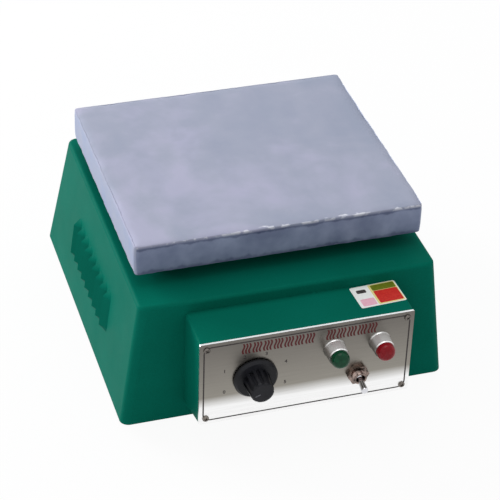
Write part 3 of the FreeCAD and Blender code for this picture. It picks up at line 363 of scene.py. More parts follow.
@dataclass(frozen=True)
class PlatePaint:
    """The hot plate's matt silver-grey coat, clouded by heat and use, with painted light: painted shade darkens its
    sides and front, painted shadow lies under the front top edge and along the foot, a painted highlight specks the
    front top edge, and the top is paler towards the left.
    """

    name: str
    pale: Colour = (170, 171, 193)
    middle: Colour = (157, 162, 181)
    dull: Colour = (149, 156, 176)
    # Painted shade: side colours the plate's sides darker than its top, and front colours the front face darker
    # still.
    side: Colour = (147, 157, 184)
    front: Colour = (112, 122, 150)
    # The next colour is painted shadow, for the band under the front top edge and the scallops along the foot.
    seam: Colour = (66, 74, 104)
    # The speck colour is a painted highlight along the front top edge.
    speck: Colour = (226, 228, 236)
    front_y: float = -86.4
    seam_z: float = 168.6
    foot_z: float = 143.1
    side_top: float = 168.5
    face_top: float = 171.2
    # The lean makes the top paler towards the left, the lit side: painted light.
    lean: float = -0.6
    brink_depth: float = 9.0
    front_fade: float = 0.5
    seam_fade: tuple[float, float] = (2.6, 4.0)
    foot_fade: tuple[float, float] = (4.5, 2.0)
    metallic: float = 0.25
    specular: float = 0.35

    def make(self) -> bpy.types.Material:
        """Makes the material.

        Returns:
            The material.
        """
        graph = Graph(self.name)
        place = graph.mapped()
        clouds = graph.sum(graph.noise(place, 13.0, 4.0, 0.6), graph.noise(place, 60.0, 3.0), 0.25)
        # Painted light: the top is made paler towards the left, the lit side.
        clouds = graph.sum(clouds, graph.height("X"), self.lean)
        top = graph.ramp(clouds, [(0.42, self.dull), (0.6, self.middle), (0.78, self.pale)])
        wipes = graph.noise(graph.mapped((2.0, 0.5, 1.0)), 22.0, 3.0)
        top = graph.mix(0.3, top, graph.ramp(wipes, [(0.35, (236, 239, 244)), (0.65, (255, 255, 255))]), "MULTIPLY")
        # Painted highlight: pale specks along the front top edge, where its rough edge catches light.
        brink = graph.span(graph.height("Y"), 1.0, 0.0, self.front_y * MM, (self.front_y + self.brink_depth) * MM)
        edge_glints = graph.sum(graph.noise(graph.mapped((1.0, 2.0, 1.0)), 110.0, 3.0), brink, 0.5)
        glint_share = graph.span(edge_glints, 0.0, 0.85, 0.98, 1.06)
        top = graph.mix(glint_share, top, graph.ramp(edge_glints, [(0.9, self.pale), (1.0, self.speck)]))
        # Painted shade: the sides and the front face take darker colours than the top.
        patches = graph.noise(place, 45.0, 4.0)
        sides = graph.ramp(patches, [(0.35, self.side), (0.7, self.middle)])
        front = graph.ramp(patches, [(0.35, self.front), (0.8, self.side)])
        dark = graph.ramp(patches, [(0.3, self.seam), (0.85, self.front)])
        # Painted shadow: a dark wavy band just under the front top edge.
        upper = graph.sum(graph.height("Z"), graph.noise(graph.mapped((1.0, 0.0, 0.0)), 60.0, 4.0), 0.009)
        start, end = self.seam_fade
        under = graph.span(upper, 0.0, 0.9, (self.seam_z + start) * MM, (self.seam_z + end) * MM)
        front = graph.mix(under, front, dark)
        # Painted shadow: dark scallops along the foot of the front face.
        lower = graph.sum(graph.height("Z"), graph.noise(graph.mapped((1.0, 0.0, 0.0)), 85.0, 2.0), -0.012)
        start, end = self.foot_fade
        foot_shadow = graph.span(lower, 0.8, 0.0, (self.foot_z - start) * MM, (self.foot_z - end) * MM)
        front = graph.mix(foot_shadow, front, dark)
        # The front face takes the darker front colour: painted shade.
        facing = graph.span(graph.height("Y"), 1.0, 0.0, self.front_y * MM, (self.front_y + self.front_fade) * MM)
        sides = graph.mix(facing, sides, front)
        level = graph.span(graph.height("Z"), 0.0, 1.0, self.side_top * MM, self.face_top * MM)
        graph.colour(graph.mix(level, sides, top))
        graph.roughness(graph.span(clouds, 0.5, 0.72, 0.3, 0.9))
        graph.set("Metallic", self.metallic)
        graph.set("Specular IOR Level", self.specular)
        graph.bump(graph.noise(place, 26.0, 3.0), 0.9, 0.35)
        graph.bump(graph.noise(place, 500.0, 2.0), 0.08, 0.4)
        return graph.material


@dataclass(frozen=True)
class PanelSteel:
    """Polished sheet steel with a fine grain along the panel; its colour is a painted reflection, grey above and
    white below, with a painted highlight on its edges.
    """

    name: str
    # Painted reflection: the colours run from white at the bottom to grey at the top, standing in for the mirrored
    # floor and room.
    upper: Colour = (116, 112, 107)
    middle: Colour = (150, 146, 138)
    lower: Colour = (255, 255, 255)
    low: float = 35.0
    turn: float = 57.0
    high: float = 119.0
    face_y: float = -161.2
    # The edge colour is a painted highlight on the panel's bent edges.
    edge: Colour = (246, 250, 250)

    def make(self) -> bpy.types.Material:
        """Makes the material.

        Returns:
            The material.
        """
        graph = Graph(self.name)
        grain = graph.noise(graph.mapped(Look.ALONG_X), 900.0, 3.0)
        # Painted reflection: the colour rises from white to grey up the panel.
        rise = graph.span(graph.height("Z"), 0.0, 1.0, self.low * MM, self.high * MM)
        wavy = graph.sum(rise, graph.noise(graph.mapped((0.5, 1.0, 1.0)), 12.0, 2.0), 0.1)
        turn = (self.turn - self.low) / (self.high - self.low) + 0.05
        tint = graph.ramp(wavy, [
            (0.0, self.lower), (turn - 0.08, self.lower), (turn + 0.06, self.middle), (1.0, self.upper),
        ])
        streaks = graph.ramp(grain, [(0.3, (240, 240, 240)), (0.7, (255, 255, 255))])
        face = graph.mix(0.6, tint, streaks, "MULTIPLY")
        # Painted highlight: the edges behind the face are made near white.
        edge_highlight_share = graph.span(graph.height("Y"), 0.0, 1.0, self.face_y * MM, (self.face_y + 0.05) * MM)
        edges = graph.ramp(grain, [(0.3, self.edge), (0.7, (255, 255, 255))])
        graph.colour(graph.mix(edge_highlight_share, face, edges))
        graph.roughness(graph.span(grain, 0.24, 0.38))
        graph.set("Metallic", 1.0)
        graph.bump(grain, 0.02, 0.3)
        return graph.material


@dataclass(frozen=True)
class Metal:
    """Bare or plated metal with turning or rolling marks."""

    name: str
    colour: Colour
    shade: Colour
    roughness: float
    spread: float = 0.08
    look: Look = Look.EVEN
    scale: float = 300.0
    patches: float = 60.0
    relief: float = 0.02

    def make(self) -> bpy.types.Material:
        """Makes the material.

        Returns:
            The material.
        """
        graph = Graph(self.name)
        marks = graph.noise(graph.mapped(self.look), self.scale, 3.0)
        clouds = graph.noise(graph.mapped(), self.patches, 3.0)
        tint = graph.ramp(clouds, [(0.35, self.shade), (0.65, self.colour)])
        graph.colour(tint)
        graph.roughness(graph.span(marks, self.roughness, self.roughness + self.spread))
        graph.set("Metallic", 1.0)
        graph.bump(marks, self.relief, 0.35)
        return graph.material


@dataclass(frozen=True)
class BezelChrome:
    """Chrome on a lamp's round bezel, its colour a painted reflection: bright along its crown and dark round its
    flanks.
    """

    name: str
    # Painted reflection: the bright colour is a painted highlight on the crown, and the middle and dark colours are
    # painted reflections lower down.
    bright: Colour = (250, 250, 250)
    middle: Colour = (176, 170, 166)
    smoky: Colour = (98, 98, 94)
    centre_z: float = 93.0
    radius: float = 8.8
    metallic: float = 0.55

    def make(self) -> bpy.types.Material:
        """Makes the material.

        Returns:
            The material.
        """
        graph = Graph(self.name)
        foot, crown = self.centre_z - self.radius, self.centre_z + self.radius
        # Painted reflection: dark at the bezel's foot, rising to a bright painted highlight at its crown.
        rise = graph.span(graph.height("Z"), 0.0, 1.0, foot * MM, crown * MM)
        cloudy = graph.sum(rise, graph.noise(graph.mapped((1.0, 0.3, 1.0)), 160.0, 2.0), 0.12)
        tint = graph.ramp(cloudy, [(0.5, self.smoky), (0.78, self.middle), (0.92, self.bright)])
        graph.colour(tint)
        marks = graph.noise(graph.mapped(), 300.0, 3.0)
        graph.roughness(graph.span(marks, 0.16, 0.26))
        graph.set("Metallic", self.metallic)
        graph.bump(marks, 0.004, 0.35)
        return graph.material


@dataclass(frozen=True)
class Galvanised:
    """Zinc-dipped sheet with its spangle."""

    name: str
    pale: Colour = (196, 200, 203)
    dark: Colour = (150, 156, 161)
    metallic: float = 0.9

    def make(self) -> bpy.types.Material:
        """Makes the material.

        Returns:
            The material.
        """
        graph = Graph(self.name)
        spangle = graph.cells(graph.mapped(), 90.0)
        tint = graph.ramp(spangle, [(0.2, self.dark), (0.8, self.pale)])
        graph.colour(tint)
        graph.roughness(graph.span(spangle, 0.34, 0.55))
        graph.set("Metallic", self.metallic)
        graph.bump(graph.noise(graph.mapped(), 250.0), 0.04, 0.3)
        return graph.material


@dataclass(frozen=True)
class Moulded:
    """Moulded plastic, rubber, ceramic or fibre: a body colour, specks and a fine skin."""

    name: str
    colour: Colour
    speck: Colour
    roughness: float
    spread: float = 0.1
    scale: float = 500.0
    relief: float = 0.04
    specular: float = 0.4

    def make(self) -> bpy.types.Material:
        """Makes the material.

        Returns:
            The material.
        """
        graph = Graph(self.name)
        place = graph.mapped()
        skin = graph.noise(place, self.scale, 3.0)
        clouds = graph.sum(graph.noise(place, 70.0, 2.0), skin, 0.4)
        graph.colour(graph.ramp(clouds, [(0.5, self.colour), (0.95, self.speck)]))
        graph.roughness(graph.span(skin, self.roughness, self.roughness + self.spread))
        graph.set("Specular IOR Level", self.specular)
        graph.bump(skin, self.relief, 0.4)
        return graph.material


@dataclass(frozen=True)
class Lens:
    """A tinted moulded lens, ribbed inside, that glows a little where light passes through it."""

    name: str
    deep: Colour
    bright: Colour
    rib_scale: float = 260.0
    transmission: float = 0.1
    specular: float = 0.14
    coat: float = 0.04

    def make(self) -> bpy.types.Material:
        """Makes the material.

        Returns:
            The material.
        """
        graph = Graph(self.name)
        place = graph.mapped()
        ribs = graph.sum(graph.cells(place, self.rib_scale, "Distance"), graph.noise(place, 120.0, 2.0), 0.6)
        graph.colour(graph.ramp(ribs, [(0.3, self.bright), (0.9, self.deep)]))
        graph.roughness(graph.span(ribs, 0.14, 0.24))
        graph.set("Transmission Weight", self.transmission)
        graph.set("Specular IOR Level", self.specular)
        graph.set("Coat Weight", self.coat)
        graph.set("Coat Roughness", 0.05)
        graph.bump(graph.noise(place, 90.0, 1.0), 0.1, 0.15)
        return graph.material


@dataclass(frozen=True)
class Ink:
    """Printed ink: matt, slightly uneven in its cover."""

    name: str
    colour: Colour
    thin: Colour
    roughness: float = 0.55
    specular: float = 0.3

    def make(self) -> bpy.types.Material:
        """Makes the material.

        Returns:
            The material.
        """
        graph = Graph(self.name)
        cover = graph.noise(graph.mapped(), 650.0, 3.0)
        graph.colour(graph.ramp(cover, [(0.45, self.colour), (0.85, self.thin)]))
        graph.roughness(graph.span(cover, self.roughness - 0.08, self.roughness + 0.1))
        graph.set("Specular IOR Level", self.specular)
        graph.bump(cover, 0.01, 0.3)
        return graph.material


GREEN_ENAMEL = Enamel("green_enamel", (4, 101, 84), (6, 108, 91))
PLATE_PAINT = PlatePaint("plate_paint")
PANEL_STEEL = PanelSteel("panel_steel")
ZINC = Metal("zinc_plate", (205, 205, 208), (170, 172, 176), 0.28)
TURNED_STEEL = Metal("turned_steel", (176, 176, 180), (140, 141, 146), 0.34, look=Look.ALONG_Z)
HEATED_STEEL = Metal("heated_steel", (96, 84, 78), (58, 52, 52), 0.5, relief=0.05)
SHIELD_SHEET = Metal("shield_sheet", (214, 216, 220), (190, 192, 197), 0.36, look=Look.ALONG_X)
BEZEL_CHROME = BezelChrome("bezel_chrome")
# The dark patches of dull nickel, laid at random, stand in for the dark reflections in the nut's facets: painted
# reflection.
DULL_NICKEL = Metal("dull_nickel", (172, 152, 144), (66, 60, 56), 0.2, 0.1, scale=420.0, patches=170.0, relief=0.01)
CHROME = Metal("chrome_plate", (226, 226, 230), (208, 209, 214), 0.06, 0.04, relief=0.004)
BRASS = Metal("bright_brass", (214, 178, 108), (178, 140, 76), 0.24)
DARK_SCREW = Metal("dulled_screw", (128, 122, 116), (88, 84, 82), 0.34)
GALVANISED = Galvanised("galvanised_sheet")
PHENOLIC = Moulded("black_phenolic", (20, 21, 26), (34, 35, 40), 0.34, specular=0.2)
BLACK_PLASTIC = Moulded("black_plastic", (30, 30, 32), (48, 48, 50), 0.5)
RUBBER = Moulded("black_rubber", (26, 26, 26), (52, 51, 50), 0.72, relief=0.08, specular=0.25)
CERAMIC = Moulded("ceramic", (232, 226, 212), (205, 196, 178), 0.62, relief=0.06)
FIBRE = Moulded("mineral_fibre", (214, 204, 182), (170, 158, 134), 0.95, scale=900.0, relief=0.3, specular=0.1)
GREEN_LENS = Lens("green_lens", (1, 66, 40), (3, 84, 52))
RED_LENS = Lens("red_lens", (138, 10, 24), (158, 18, 32))
MAROON_INK = Ink("maroon_ink", (84, 26, 28), (108, 46, 44))
BLACK_INK = Ink("black_ink", (50, 44, 44), (92, 86, 86))
FADED_PAINT = Ink("faded_paint", (98, 99, 104), (78, 79, 84))
WHITE_VINYL = Ink("white_vinyl", (253, 254, 252), (246, 249, 247), 0.35)
RED_VINYL = Ink("red_vinyl", (205, 34, 26), (222, 62, 40), 0.35)
OLIVE_VINYL = Ink("olive_vinyl", (104, 116, 18), (132, 134, 34), 0.35)
YELLOW_VINYL = Ink("yellow_vinyl", (240, 226, 146), (246, 236, 174), 0.35)
PINK_VINYL = Ink("pink_vinyl", (246, 186, 204), (250, 206, 218), 0.35)

FINISH_OF_SLOT: dict[str, Finish] = {
    "plate": PLATE_PAINT,
    "green_paint": GREEN_ENAMEL,
    "panel_steel": PANEL_STEEL,
    "bright_screw": DARK_SCREW,
    "zinc": ZINC,
    "post_steel": TURNED_STEEL,
    "element_steel": HEATED_STEEL,
    "shield_sheet": SHIELD_SHEET,
    "ceramic": CERAMIC,
    "fibre": FIBRE,
    "knob_black": PHENOLIC,
    "black_plastic": BLACK_PLASTIC,
    "chrome": CHROME,
    "nickel": DULL_NICKEL,
    "green_lens": GREEN_LENS,
    "red_lens": RED_LENS,
    "galvanised": GALVANISED,
    "rubber": RUBBER,
    "brass": BRASS,
    "spindle_steel": TURNED_STEEL,
}


class Paints:
    """Makes each finish's material once and hands it out."""

    made: dict[str, bpy.types.Material] = {}

    @classmethod
    def of(cls, finish: Finish) -> bpy.types.Material:
        """Gives a finish's material.

        Args:
            finish: one of the finish dataclasses.

        Returns:
            Its material, the same one each time.
        """
        if finish.name not in cls.made:
            cls.made[finish.name] = finish.make()
        return cls.made[finish.name]


def smoothed(mesh: bpy.types.Mesh, angle: float) -> None:
    """Shades a mesh smooth, apart from edges sharper than an angle in degrees."""
    mesh.polygons.foreach_set("use_smooth", [True] * len(mesh.polygons))
    mesh.set_sharp_from_angle(angle=math.radians(angle))


def placed(name: str, data: bpy.types.ID) -> bpy.types.Object:
    """Makes an object of some data and puts it in the scene.

    Args:
        name: the object's name.
        data: its mesh, curve, camera or lamp.

    Returns:
        The object, at the origin.
    """
    item = bpy.data.objects.new(name, data)
    bpy.context.scene.collection.objects.link(item)
    return item


def finished(name: str, shape: Shape, finishes: Sequence[Finish], body: Rides,
             angle: float = 32.0) -> bpy.types.Object:
    """Turns a shape in millimetres into a piece of the object.

    Args:
        name: the piece's name.
        shape: its mesh, which is used up.
        finishes: a finish for each material index.
        body: what it rides on.
        angle: the least angle in degrees that stays a sharp edge.

    Returns:
        The piece, at the origin and with its place in its mesh.
    """
    bmesh.ops.remove_doubles(shape, verts=shape.verts, dist=WELD)
    bmesh.ops.recalc_face_normals(shape, faces=shape.faces)
    bmesh.ops.scale(shape, vec=(MM, MM, MM), verts=shape.verts)
    mesh = bpy.data.meshes.new(name)
    shape.to_mesh(mesh)
    shape.free()
    for finish in finishes:
        mesh.materials.append(Paints.of(finish))
    smoothed(mesh, angle)
    piece = placed(name, mesh)
    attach(piece, body.value)
    LOG.info("made %s: %d faces", name, len(mesh.polygons))
    return piece


def raised(shape: Shape, faces: Sequence[bmesh.types.BMFace],
           thickness: float) -> list[bmesh.types.BMVert]:
    """Makes a closed slab of flat faces, by lifting a copy of them along Z.

    Args:
        shape: the mesh that holds them.
        faces: the flat faces.
        thickness: how far the copy is lifted.

    Returns:
        The copy's vertices.
    """
    lifted = bmesh.ops.extrude_face_region(shape, geom=faces, use_keep_orig=True)
    tops = [item for item in lifted["geom"] if isinstance(item, bmesh.types.BMVert)]
    bmesh.ops.translate(shape, vec=(0.0, 0.0, thickness), verts=tops)
    return tops


def plaque(shape: Shape, width: float, height: float, radius: float, thickness: float, place: Matrix,
           hollow: float = 0.0, index: int = 0) -> None:
    """Adds a thin rectangle with round corners, or only its outline.

    Args:
        shape: the mesh that it joins.
        width: its size along its own X.
        height: its size along its own Y.
        radius: the corner radius.
        thickness: how far it stands up along its own Z.
        place: where it goes.
        hollow: the line's width, for an outline only.
        index: its material index.
    """
    made = bmesh.ops.create_grid(shape, x_segments=1, y_segments=1, size=0.5)
    bmesh.ops.scale(shape, vec=(width, height, 1.0), verts=made["verts"])
    face = made["verts"][0].link_faces[0]
    if radius > 0:
        rounded = bmesh.ops.bevel(shape, geom=list(face.verts), offset=radius, segments=5, profile=0.5,
                                  affect="VERTICES", material=-1)
        face = max({item for vert in rounded["verts"] for item in vert.link_faces}, key=lambda item: item.calc_area())
    faces = [face]
    if hollow > 0:
        rim = bmesh.ops.inset_region(shape, faces=[face], thickness=hollow, use_even_offset=True, use_boundary=True)
        bmesh.ops.delete(shape, geom=[face], context="FACES_ONLY")
        faces = rim["faces"]
    for item in faces:
        item.material_index = index
    tops = raised(shape, faces, thickness)
    whole = {vert for item in faces for vert in item.verts} | set(tops)
    for vert in whole:
        for item in vert.link_faces:
            item.material_index = index
    bmesh.ops.transform(shape, matrix=place, verts=list(whole))


def lathe(shape: Shape, profile: Sequence[tuple[float, float]], steps: int,
          place: Matrix) -> list[bmesh.types.BMVert]:
    """Adds a solid turned about its own Z.

    Args:
        shape: the mesh that it joins.
        profile: radius and height, from one end of the axis to the other.
        steps: how many faces go round.
        place: where it goes.

    Returns:
        The solid's vertices.
    """
    verts = [shape.verts.new((radius, 0.0, height)) for radius, height in profile]
    edges = [shape.edges.new(pair) for pair in zip(verts, verts[1:])]
    spun = bmesh.ops.spin(shape, geom=verts + edges, cent=(0, 0, 0), axis=(0, 0, 1), dvec=(0, 0, 0),
                          angle=math.tau, steps=steps, use_merge=True, use_duplicate=False)
    found = set(verts)
    grown = list(verts) + [item for item in spun["geom_last"] if isinstance(item, bmesh.types.BMVert)]
    while grown:
        vert = grown.pop()
        for edge in vert.link_edges:
            other = edge.other_vert(vert)
            if other not in found:
                found.add(other)
                grown.append(other)
    bmesh.ops.remove_doubles(shape, verts=list(found), dist=WELD)
    found = [vert for vert in found if vert.is_valid]
    bmesh.ops.transform(shape, matrix=place, verts=found)
    return found


def cut_by(shape: Shape, cutter: Shape) -> Shape:
    """Cuts one closed mesh from another.

    Args:
        shape: the mesh that is cut, which is used up.
        cutter: the mesh that cuts, which is used up.

    Returns:
        What is left.
    """
    objects = []
    for source in (shape, cutter):
        bmesh.ops.recalc_face_normals(source, faces=source.faces)
        mesh = bpy.data.meshes.new("cutting")
        source.to_mesh(mesh)
        source.free()
        objects.append(placed("cutting", mesh))
    target, tool = objects
    cut = target.modifiers.new("cut", "BOOLEAN")
    cut.operation = "DIFFERENCE"
    cut.solver = "EXACT"
    cut.object = tool
    graph = bpy.context.evaluated_depsgraph_get()
    result = bmesh.new()
    result.from_mesh(bpy.data.meshes.new_from_object(target.evaluated_get(graph)))
    for item in objects:
        bpy.data.objects.remove(item)
    return result


@dataclass(frozen=True)
class Panel:
    """The control panel's face: where it is, and its own left-to-right, upward and outward directions."""

    centre_x: float = 1.7
    face_y: float = -161.25
    centre_z: float = 77.0
    width: float = 186.0
    height: float = 84.0

    def at(self, x: float, y: float, out: float = 0.0, turn: float = 0.0) -> Matrix:
        """Gives the place of something on the panel.

        Args:
            x: how far right of the panel's centre it is.
            y: how far above the centre it is.
            out: how far it stands off the panel.
            turn: its turn in degrees, anticlockwise to someone facing the panel.

        Returns:
            The matrix that carries it there.
        """
        place = Matrix.Translation((self.centre_x + x, self.face_y - out, self.centre_z + y))
        return place @ Matrix.Rotation(math.radians(90), 4, "X") @ Matrix.Rotation(math.radians(turn), 4, "Z")


PANEL = Panel()


@dataclass
class PanelPrint:
    """What is printed on the control panel: its border, the dial's numbers and a band of heat waves."""

    ink: float = 0.06
    border_inset: float = 3.2
    border_line: float = 1.2
    border_corner: float = 6.5
    dial_x: float = -45.0
    dial_y: float = 0.0
    dial_radius: float = 28.6
    dial_crown: float = 24.4
    dial_start: float = 202.5
    dial_step: float = 45.0
    numbers: int = 7
    number_height: float = 3.2
    number_weight: float = 0.12
    band_left: float = -57.6
    band_right: float = 60.8
    band_low: float = 26.0
    band_high: float = 36.4
    groups: tuple[int, int] = (7, 5)
    waves: int = 3
    wave_line: float = 1.6
    wave_pitch: float = 2.7
    wave_swing: float = 0.75
    wave_steps: int = 12

    def build(self) -> None:
        """Makes the three prints."""
        self.border()
        self.dial()
        self.band()

    def border(self) -> None:
        """Makes the dark line near the panel's edge."""
        shape = bmesh.new()
        plaque(shape, PANEL.width - 2 * self.border_inset, PANEL.height - 2 * self.border_inset,
               self.border_corner, self.ink, PANEL.at(0, 0), hollow=self.border_line)
        finished("panel_border", shape, [BLACK_INK], Rides.CASE)

    def dial(self) -> None:
        """Makes the numbers round the knob."""
        shape = bmesh.new()
        for number in range(self.numbers):
            angle = math.radians(self.dial_start - self.dial_step * number)
            crowded = self.dial_radius * math.sin(angle) + self.number_height / 2 > self.band_low - 1.0
            radius = self.dial_crown if crowded else self.dial_radius
            x = self.dial_x + radius * math.cos(angle)
            y = self.dial_y + radius * math.sin(angle)
            add_number(shape, str(number), self.number_height, self.number_weight, self.ink, PANEL.at(x, y))
        finished("dial_numbers", shape, [BLACK_INK], Rides.CASE)

    def band(self) -> None:
        """Makes the maroon band above the knob: upright waves in two groups."""
        shape = bmesh.new()
        places = sum(self.groups) + 1
        pitch = (self.band_right - self.band_left) / places
        gap_at = self.groups[0]
        for place in range(places):
            if place == gap_at:
                continue
            middle = self.band_left + pitch * (place + 0.5)
            for wave in range(self.waves):
                x = middle + (wave - (self.waves - 1) / 2) * self.wave_pitch
                self.wave(shape, x)
        finished("heat_wave_band", shape, [MAROON_INK], Rides.CASE)

    def wave(self, shape: Shape, x: float) -> None:
        """Adds one upright wave.

        Args:
            shape: the mesh that it joins.
            x: where it stands.
        """
        tall = self.band_high - self.band_low
        made = bmesh.ops.create_grid(shape, x_segments=1, y_segments=self.wave_steps, size=0.5)
        verts = made["verts"]
        bmesh.ops.scale(shape, vec=(self.wave_line, tall, 1.0), verts=verts)
        for vert in verts:
            vert.co.x += self.wave_swing * math.sin(math.tau * vert.co.y / tall)
        faces = list({face for vert in verts for face in vert.link_faces})
        tops = raised(shape, faces, self.ink)
        place = PANEL.at(x, (self.band_low + self.band_high) / 2)
        bmesh.ops.transform(shape, matrix=place, verts=verts + tops)


def add_number(shape: Shape, text: str, height: float, weight: float, thickness: float,
               place: Matrix) -> None:
    """Adds a printed number.

    Args:
        shape: the mesh that it joins.
        text: the digits.
        height: the digits' height.
        weight: how much bolder than plain the digits are.
        thickness: how far the ink stands up.
        place: where the number's middle goes.
    """
    curve = bpy.data.curves.new("number", "FONT")
    curve.body = text
    curve.size = height / DIGIT_SHARE
    curve.align_x = "CENTER"
    curve.align_y = "CENTER"
    curve.offset = weight
    curve.extrude = thickness / 2
    item = placed("number", curve)
    graph = bpy.context.evaluated_depsgraph_get()
    mesh = bpy.data.meshes.new_from_object(item.evaluated_get(graph))
    mesh.materials.clear()
    mesh.transform(place @ Matrix.Translation((0, 0, thickness / 2)))
    shape.from_mesh(mesh)
    bpy.data.objects.remove(item)


@dataclass
class TopLabel:
    """The small coloured vinyl label on the control box's top."""

    x: float = 72.5
    y: float = -132.0
    z: float = 119.0
    turn: float = 3.0
    width: float = 41.0
    depth: float = 29.0
    corner: float = 1.6
    sheet: float = 0.12
    ink: float = 0.03
    patch_corner: float = 1.2

    def build(self) -> None:
        """Makes the label with its patches of colour, each given by its place, size and finish."""
        shape = bmesh.new()
        base = Matrix.Translation((self.x, self.y, self.z)) @ Matrix.Rotation(math.radians(self.turn), 4, "Z")
        plaque(shape, self.width, self.depth, self.corner, self.sheet, base)
        half_w, half_d = self.width / 2, self.depth / 2
        patches = [
            (half_w - 12.8, 0.2, 24.0, self.depth - 1.6, 1),
            (half_w - 12.2, half_d - 5.4, 21.4, 7.6, 2),
            (half_w - 12.2, -3.6, 21.4, 17.0, 3),
            (8.2 - half_w, half_d - 7.2, 8.6, 4.6, 4),
            (9.0 - half_w, 6.6 - half_d, 12.6, 9.6, 5),
        ]
        for level, (x, y, width, depth, index) in enumerate(patches):
            lift = self.sheet + (self.ink if level in (1, 2) else 0.0)
            spot = base @ Matrix.Translation((x, y, lift))
            plaque(shape, width, depth, self.patch_corner, self.ink, spot, index=index)
        finished("top_label", shape, [WHITE_VINYL, YELLOW_VINYL, OLIVE_VINYL, RED_VINYL, BLACK_INK, PINK_VINYL],
                 Rides.CASE)


@dataclass
class CrossHeadScrews:
    """Pan-head screws with a cross recess, in place of the model's plain ones."""

    name: str
    replaced: str
    finish: Metal
    slot: str
    radius: float
    length: float
    places: Sequence[Matrix]
    head: float = 1.9
    rise: float = 1.3
    steps: int = 32

    def build(self) -> None:
        """Makes the screws as one piece."""
        whole = bmesh.new()
        for place in self.places:
            one = self.one()
            bmesh.ops.transform(one, matrix=place, verts=one.verts)
            mesh = bpy.data.meshes.new("screw")
            one.to_mesh(mesh)
            one.free()
            whole.from_mesh(mesh)
            bpy.data.meshes.remove(mesh)
        piece = finished(self.name, whole, [self.finish], Rides.CASE)
        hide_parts(self.replaced)

    def one(self) -> Shape:
        """Makes one screw along its own Z, with its head's underside at the origin.

        Returns:
            The screw's mesh.
        """
        head, rise = self.radius * self.head, self.radius * self.rise
        shape = bmesh.new()
        dome = [(head * math.cos(turn), rise * (0.35 + 0.65 * math.sin(turn))) for turn in (0.0, 0.5, 0.9, 1.2)]
        profile = [(0.0, -self.length), (self.radius, -self.length), (self.radius, 0.0), (head * 0.97, 0.0)]
        lathe(shape, [*profile, (head, rise * 0.12), *dome, (0.0, rise)], self.steps, Matrix.Identity(4))
        cutter = bmesh.new()
        long, thin, deep = head * 1.15, head * 0.27, rise * 0.75
        for turn in (0.0, 90.0):
            made = bmesh.ops.create_cube(cutter, size=1.0)
            bmesh.ops.scale(cutter, vec=(long, thin, deep * 2), verts=made["verts"])
            place = Matrix.Translation((0, 0, rise)) @ Matrix.Rotation(math.radians(turn), 4, "Z")
            bmesh.ops.transform(cutter, matrix=place, verts=made["verts"])
            shape = cut_by(shape, cutter)
            cutter = bmesh.new()
        cutter.free()
        return shape


@dataclass
class KnobMark:
    """The faded line on the grip's end that shows where the knob points."""

    x: float = -45.0
    y: float = 0.0
    angle: float = 202.5
    inner: float = 2.2
    outer: float = 7.0
    width: float = 1.1
    out: float = 22.5
    ink: float = 0.06
    corner: float = 0.4

    def build(self) -> None:
        """Makes the line."""
        shape = bmesh.new()
        along = Matrix.Translation(((self.inner + self.outer) / 2, 0, 0))
        place = PANEL.at(self.x, self.y, self.out, self.angle) @ along
        plaque(shape, self.outer - self.inner, self.width, self.corner, self.ink, place)
        finished("knob_mark", shape, [FADED_PAINT], Rides.KNOB)


